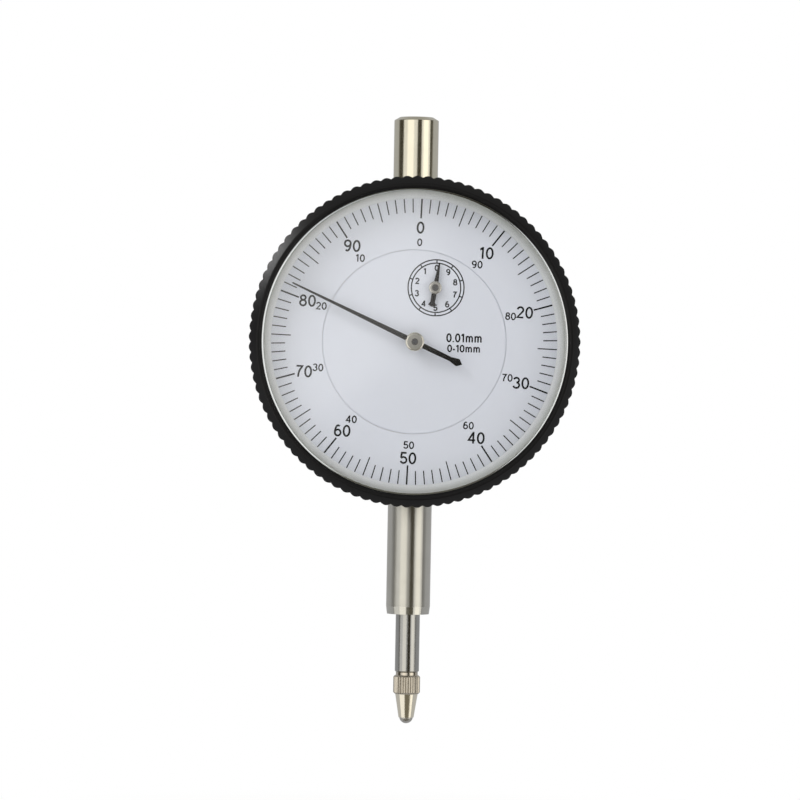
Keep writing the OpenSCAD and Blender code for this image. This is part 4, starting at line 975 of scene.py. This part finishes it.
is_cone = clear_below(point_nickel, collar_end, CONE_ROUGHNESS)
plate_colour = shader_inputs(point_nickel)["Base Color"]
collar_colour = plate_colour.links[0].from_socket
# Painted highlight: the cone gets a lighter colour than the collar, so its reflections come out brighter
collar_or_cone = add_node(point_nickel, "Mix", {
    "Factor": is_cone, "A": collar_colour, "B": colour(CONE_PAINTED_HIGHLIGHT_COLOUR),
}, data_type="RGBA")
link(point_nickel, collar_or_cone.outputs["Result"], plate_colour)
print(f"the cone begins at z {collar_end:.2f} mm")

# %% [markdown]
# ## Pointer hubs
# A hub grips the pointer's blade from above and below. Only the button above the blade shows: a flat top, a
# round edge, and a sunk hole with the arbor's end in the middle.

# %% Turn the hubs
HUB_BORE_R = 0.47
HUB_NECK_R = 0.85
HUB_FLANGE = 0.3
BLADE_T = 0.2
EDGE_STEPS, HUB_STEPS = 6, 96
SINK_W, SINK_DEPTH = 0.14, 0.2


def hub_outline(hub_r, back_w, top_w, edge):
    """A hub's section: flange behind the blade, neck through it and button with a round edge before it."""
    blade_back = back_w + HUB_FLANGE
    blade_front = blade_back + BLADE_T
    flange_r = HUB_NECK_R + HUB_FLANGE
    round_edge = bow(hub_r - edge, top_w - edge, edge, edge, 0, 90, EDGE_STEPS)
    return [
        (HUB_BORE_R, back_w), (flange_r, back_w), (flange_r, blade_back), (HUB_NECK_R, blade_back),
        (HUB_NECK_R, blade_front), (hub_r, blade_front), *round_edge,
        (HUB_BORE_R + SINK_W, top_w), (HUB_BORE_R, top_w - SINK_DEPTH),
    ]


for name, node, body, edge, material in (
    ("main_hub_button", "main_pointer_hub", "pointer", 0.4, main_hub_nickel),
    ("counter_hub_button", "counter_pointer_hub", "counter", 0.3, small_hub_nickel),
):
    hub_low, hub_high = box_mm(node)
    outline = hub_outline((hub_high.x - hub_low.x) / 2, -hub_high.y, -hub_low.y, edge)
    about_hub = about_point(*middle_on_dial(node))
    make_piece(name, *spin(outline, HUB_STEPS, about_hub), material, "hub_nickel", body, node)

# %% [markdown]
# ## Figures
# The dial's figures are plain upright ones, one stroke wide. Text objects would bring a font's own shapes,
# and Blender's font is unlike a dial's, so each figure is drawn here from its strokes: straight runs and
# parts of ellipses in a box one unit high, which become flat ribbons of ink.

# %% Draw the figures' strokes
SIX = [bow(0.01, 0.32, 0.255, 0.255, 180, -180), bow(0.02, 0.32, 0.265, 0.615, 180, 60)]
STROKES = {
    "0": [bow(0, 0.5, 0.26, 0.435, 90, 450, 32)],
    "1": [[(0.07, 0), (0.07, 1)], [(0.06, 0.96), (-0.03, 0.86), (-0.18, 0.77)]],
    "2": [[*bow(0, 0.70, 0.25, 0.235, 170, -35), (-0.25, 0.065), (0.29, 0.065)]],
    "3": [bow(-0.01, 0.735, 0.225, 0.2, 165, -90), bow(-0.01, 0.3, 0.26, 0.235, 90, -165)],
    "4": [[(0.29, 0.29), (-0.29, 0.29), (0.12, 0.95)], [(0.12, 0), (0.12, 1)]],
    "5": [[(0.24, 0.935), (-0.17, 0.935), (-0.23, 0.5)], bow(0, 0.32, 0.265, 0.255, 145, -160)],
    "6": SIX,
    "7": [[(-0.27, 0.935), (0.25, 0.935), *bow(0.32, 0, 0.4, 0.85, 115, 180)]],
    "8": [bow(0, 0.74, 0.21, 0.195, 90, 450), bow(0, 0.3, 0.26, 0.235, 90, 450)],
    "9": [[(-x, 1 - y) for x, y in stroke] for stroke in SIX],
    ".": [[(0, 0), (0, 0.14)]],
    "-": [[(-0.15, 0.36), (0.15, 0.36)]],
    "m": [
        [(-0.38, 0), (-0.38, 0.73)],
        [*bow(-0.19, 0.47, 0.19, 0.2, 180, 0), (0, 0)],
        [*bow(0.19, 0.47, 0.19, 0.2, 180, 0), (0.38, 0)],
    ],
}
ADVANCE = {".": 0.39, "-": 0.47, "m": 1.16, "1": 0.58}
FIGURE_ADVANCE = 0.776


def write(text, x, y, height, weight, squeeze=1.0):
    """Ribbons of a line of text about (x, y): each is a run of points and a width, in millimetres."""
    steps = [ADVANCE.get(c, FIGURE_ADVANCE) for c in text]
    ribbons, pen = [], -sum(steps) / 2
    for character, step in zip(text, steps):
        middle = pen + step / 2
        for stroke in STROKES[character]:
            run = [(x + (middle + u) * height * squeeze, y + (v - 0.5) * height) for u, v in stroke]
            ribbons.append((run, weight * height))
        pen += step
    return ribbons


print("figures and signs:", "".join(sorted(STROKES)))

# %% [markdown]
# ## Printing ink
# Pad printing leaves a film a few hundredths of a millimetre thick. Each ribbon becomes a strip of flat
# faces, mitred at its bends, just over the dial; a Solidify modifier gives the film its thickness.

# %% Turn ribbons into ink
INK_T = 0.02
INK_LIFT = 0.004
LONGEST_MITRE = 1.8
SAME_PLACE_MM = 1e-6


def ribbon_sides(run, width):
    """Left and right points along a run of points."""
    points = [Vector(p) for p in run]
    closed = (points[0] - points[-1]).length < SAME_PLACE_MM
    sides = []
    for i, point in enumerate(points):
        before = points[i - 1] if i else (points[-2] if closed else None)
        after = points[i + 1] if i + 1 < len(points) else (points[1] if closed else None)
        ways = [(point - before).normalized()] if before else []
        ways += [(after - point).normalized()] if after else []
        way = sum(ways, Vector((0, 0))).normalized()
        mitre = 1 / max(way.dot(ways[0]), 1 / LONGEST_MITRE)
        across = Vector((-way.y, way.x)) * width / 2 * mitre
        sides.append((point + across, point - across))
    return sides


def print_ink(name, ribbons, turn, body):
    """A film of ink on the dial, turned clockwise about the dial's centre."""
    lean = Matrix.Rotation(-radians(turn), 2)
    points, faces = [], []
    for run, width in ribbons:
        first = len(points)
        for pair in ribbon_sides(run, width):
            points += [on_dial(*(lean @ side), FACE_W + INK_LIFT) for side in pair]
        for k in range(first, len(points) - 2, 2):
            faces.append((k, k + 2, k + 3, k + 1))
    piece = new_object(name, points, faces, dial_ink)
    film = piece.modifiers.new("film", "SOLIDIFY")
    film.thickness = INK_T * MM
    film.offset = 1
    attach(piece, body)
    print(f"{name}: {len(ribbons)} ribbons")


# %% [markdown]
# ## Dial ring
# The outer scale has a hundred divisions. Every fifth line is longer and every tenth also thicker. Large
# figures count clockwise and small ones the other way, for reading either direction of travel. The photo's
# ring stands a couple of degrees clockwise of upright, so the print does too, and its lowest figures lie a
# little further out than the rest.

# %% Print the dial ring
RING_TURN = 2.1
DIVISIONS = 100
SCALE_OUT_R = 25.8
LINE_IN_R, FIFTH_IN_R = 23.3, 22.3
LINE_W, TENTH_W = 0.2, 0.29
LARGE_R, LARGE_H = 20.63, 2.12
SMALL_R, SMALL_H = 17.98, 1.33
LARGE_WEIGHT, SMALL_WEIGHT = 0.16, 0.18
LARGE_SQUEEZE = 0.97
LOWEST, LOWEST_LARGE_R, LOWEST_SMALL_R = 50, 21.0, 18.65


def polar(r, angle):
    """Across and up of a place on the dial, in degrees clockwise from the top."""
    return r * sin(radians(angle)), r * cos(radians(angle))


ring_ribbons = []
for division in range(DIVISIONS):
    angle = 360 * division / DIVISIONS
    inner_r = FIFTH_IN_R if division % 5 == 0 else LINE_IN_R
    width = TENTH_W if division % 10 == 0 else LINE_W
    ring_ribbons.append(([polar(inner_r, angle), polar(SCALE_OUT_R, angle)], width))
for tens in range(0, DIVISIONS, 10):
    angle = 360 * tens / DIVISIONS
    large_r, small_r = (LOWEST_LARGE_R, LOWEST_SMALL_R) if tens == LOWEST else (LARGE_R, SMALL_R)
    counted_back = (DIVISIONS - tens) % DIVISIONS
    ring_ribbons += write(str(tens), *polar(large_r, angle), LARGE_H, LARGE_WEIGHT, LARGE_SQUEEZE)
    ring_ribbons += write(str(counted_back), *polar(small_r, angle), SMALL_H, SMALL_WEIGHT)
print_ink("dial_ring_print", ring_ribbons, RING_TURN, "bezel")

# %% [markdown]
# ## Inner dial
# The fixed inner dial carries the turn counter's scale, two circles with ten lines between them and figures
# that run anticlockwise, and two generic lines that give the reading of one division and the range. The
# print sits a little to the right of the counter's arbor, as it does in the photo.

# %% Print the inner dial
COUNTER_OUT_R, COUNTER_IN_R = 5.05, 4.45
COUNTER_FIGURE_R, COUNTER_FIGURE_H, COUNTER_WEIGHT = 3.6, 1.08, 0.215
COUNTER_FIGURES, COUNTER_TURN = 10, 1.1
CIRCLE_W, CIRCLE_STEPS = 0.22, 72
PRINT_SHIFT = 0.17

counter_x, counter_up = middle_on_dial("counter_pointer_hub")


def on_counter(r, angle):
    """A place on the counter's scale, in degrees clockwise from its top."""
    x, y = polar(r, angle + COUNTER_TURN)
    return counter_x + PRINT_SHIFT + x, counter_up + y


inner_ribbons = [
    ([on_counter(r, 360 * k / CIRCLE_STEPS) for k in range(CIRCLE_STEPS + 1)], CIRCLE_W)
    for r in (COUNTER_OUT_R, COUNTER_IN_R)
]
for figure in range(COUNTER_FIGURES):
    angle = 360 * figure / COUNTER_FIGURES
    line = [on_counter(COUNTER_IN_R, angle), on_counter(COUNTER_OUT_R, angle)]
    inner_ribbons.append((line, CIRCLE_W))
    figure_place = on_counter(COUNTER_FIGURE_R, -angle)
    inner_ribbons += write(str(figure), *figure_place, COUNTER_FIGURE_H, COUNTER_WEIGHT)
# Each line of text has its place, height, weight and squeeze
for text, place, *look in (
    ("0.01mm", (9.0, 0.85), 1.55, 0.185, 0.875),
    ("0-10mm", (8.95, -1.07), 1.3, 0.2, 0.95),
):
    inner_ribbons += write(text, *place, *look)
print_ink("inner_dial_print", inner_ribbons, 0, "case")

# %% [markdown]
# ## Step under the dial ring
# The turning ring passes close round the fixed inner dial. A step on the inner dial's edge reaches into the
# gap, so that the gap is shallow and shows as a faint grey circle.

# %% Turn the inner dial's step
STEP_BELOW = 0.13
STEP_CLEARANCE = 0.03
STEP_OVERLAP = 0.05
DIAL_GAP = 0.15
STEP_STEPS = 192

inner_high = box_mm("inner_dial")[1]
in_r, out_r = inner_high.x - STEP_OVERLAP, inner_high.x + DIAL_GAP - STEP_CLEARANCE
back_w, front_w = -inner_high.y, FACE_W - STEP_BELOW
step_outline = [(in_r, back_w), (out_r, back_w), (out_r, front_w), (in_r, front_w)]
make_piece("inner_dial_step", *spin(step_outline, STEP_STEPS, about_dial), dial_lacquer, "dial_white", "case")

# %% [markdown]
# ## Return spring
# A long extension spring pulls the spindle down. One end hooks on a post in the bridge plate and the other
# on the spindle's guide pin, so it stretches as the spindle rises. It is drawn as one round wire along
# hook, coil and hook.

# %% Wind the return spring
COIL_TURNS, COIL_R, COIL_WIRE_R = 17, 1.125, 0.175
COIL_STEPS, WIRE_SIDES, HOOK_STEPS = 24, 10, 14
POST_DROP, PIN_RISE = 13.5, 5.0
HOOK_LEN = 2.2
POST_HOOK_R, HOOK_START, HOOK_END = 1.175, 150, 360
PIN_HOOK_R, EYE_START, EYE_END = 1.025, -60, 240
WIRE_CREASE = 60

post_x = middle_on_dial("spring_post")[0]


def spring_line():
    """The wire's middle line: across, up and forward from the dial's centre."""
    hook = bow(post_x, -POST_DROP, POST_HOOK_R, POST_HOOK_R, HOOK_START, HOOK_END, HOOK_STEPS)
    loops = bow(post_x, 0, COIL_R, COIL_R, 0, 360 * COIL_TURNS, COIL_TURNS * COIL_STEPS)
    eye = bow(0, PIN_RISE, PIN_HOOK_R, PIN_HOOK_R, EYE_START, EYE_END, HOOK_STEPS)
    low, high = HOOK_LEN - POST_DROP, PIN_RISE - HOOK_LEN
    pitch = (high - low) / (len(loops) - 1)
    coil = [(x, low + pitch * k, w) for k, (x, w) in enumerate(loops)]
    return [(x, y, 0) for x, y in hook] + coil + [(post_x, y, w) for w, y in eye]


def wire_tube(line, radius, sides):
    """Points and faces of a round wire along a line, with closed ends."""
    points, across = [], Vector((0, 0, 1))
    for i, place in enumerate(line):
        way = (line[min(i + 1, len(line) - 1)] - line[max(i - 1, 0)]).normalized()
        across = (across - way * across.dot(way)).normalized()
        other = way.cross(across)
        for k in range(sides):
            a = tau * k / sides
            points.append(place + (across * cos(a) + other * sin(a)) * radius)
    ends = [range(sides)[::-1], range(len(points) - sides, len(points))]
    return points, ring_faces(len(line), sides, closed=False) + ends


wire_line = [on_dial(*p) for p in spring_line()]
coil_spring = make_piece(
    "wound_return_spring", *wire_tube(wire_line, COIL_WIRE_R, WIRE_SIDES),
    spring_wire, "spring_steel", node="return_spring", crease=WIRE_CREASE,
)
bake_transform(coil_spring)

# %% [markdown]
# Dressing must not make the tool bigger.

# %% Finish
bpy.context.view_layer.update()
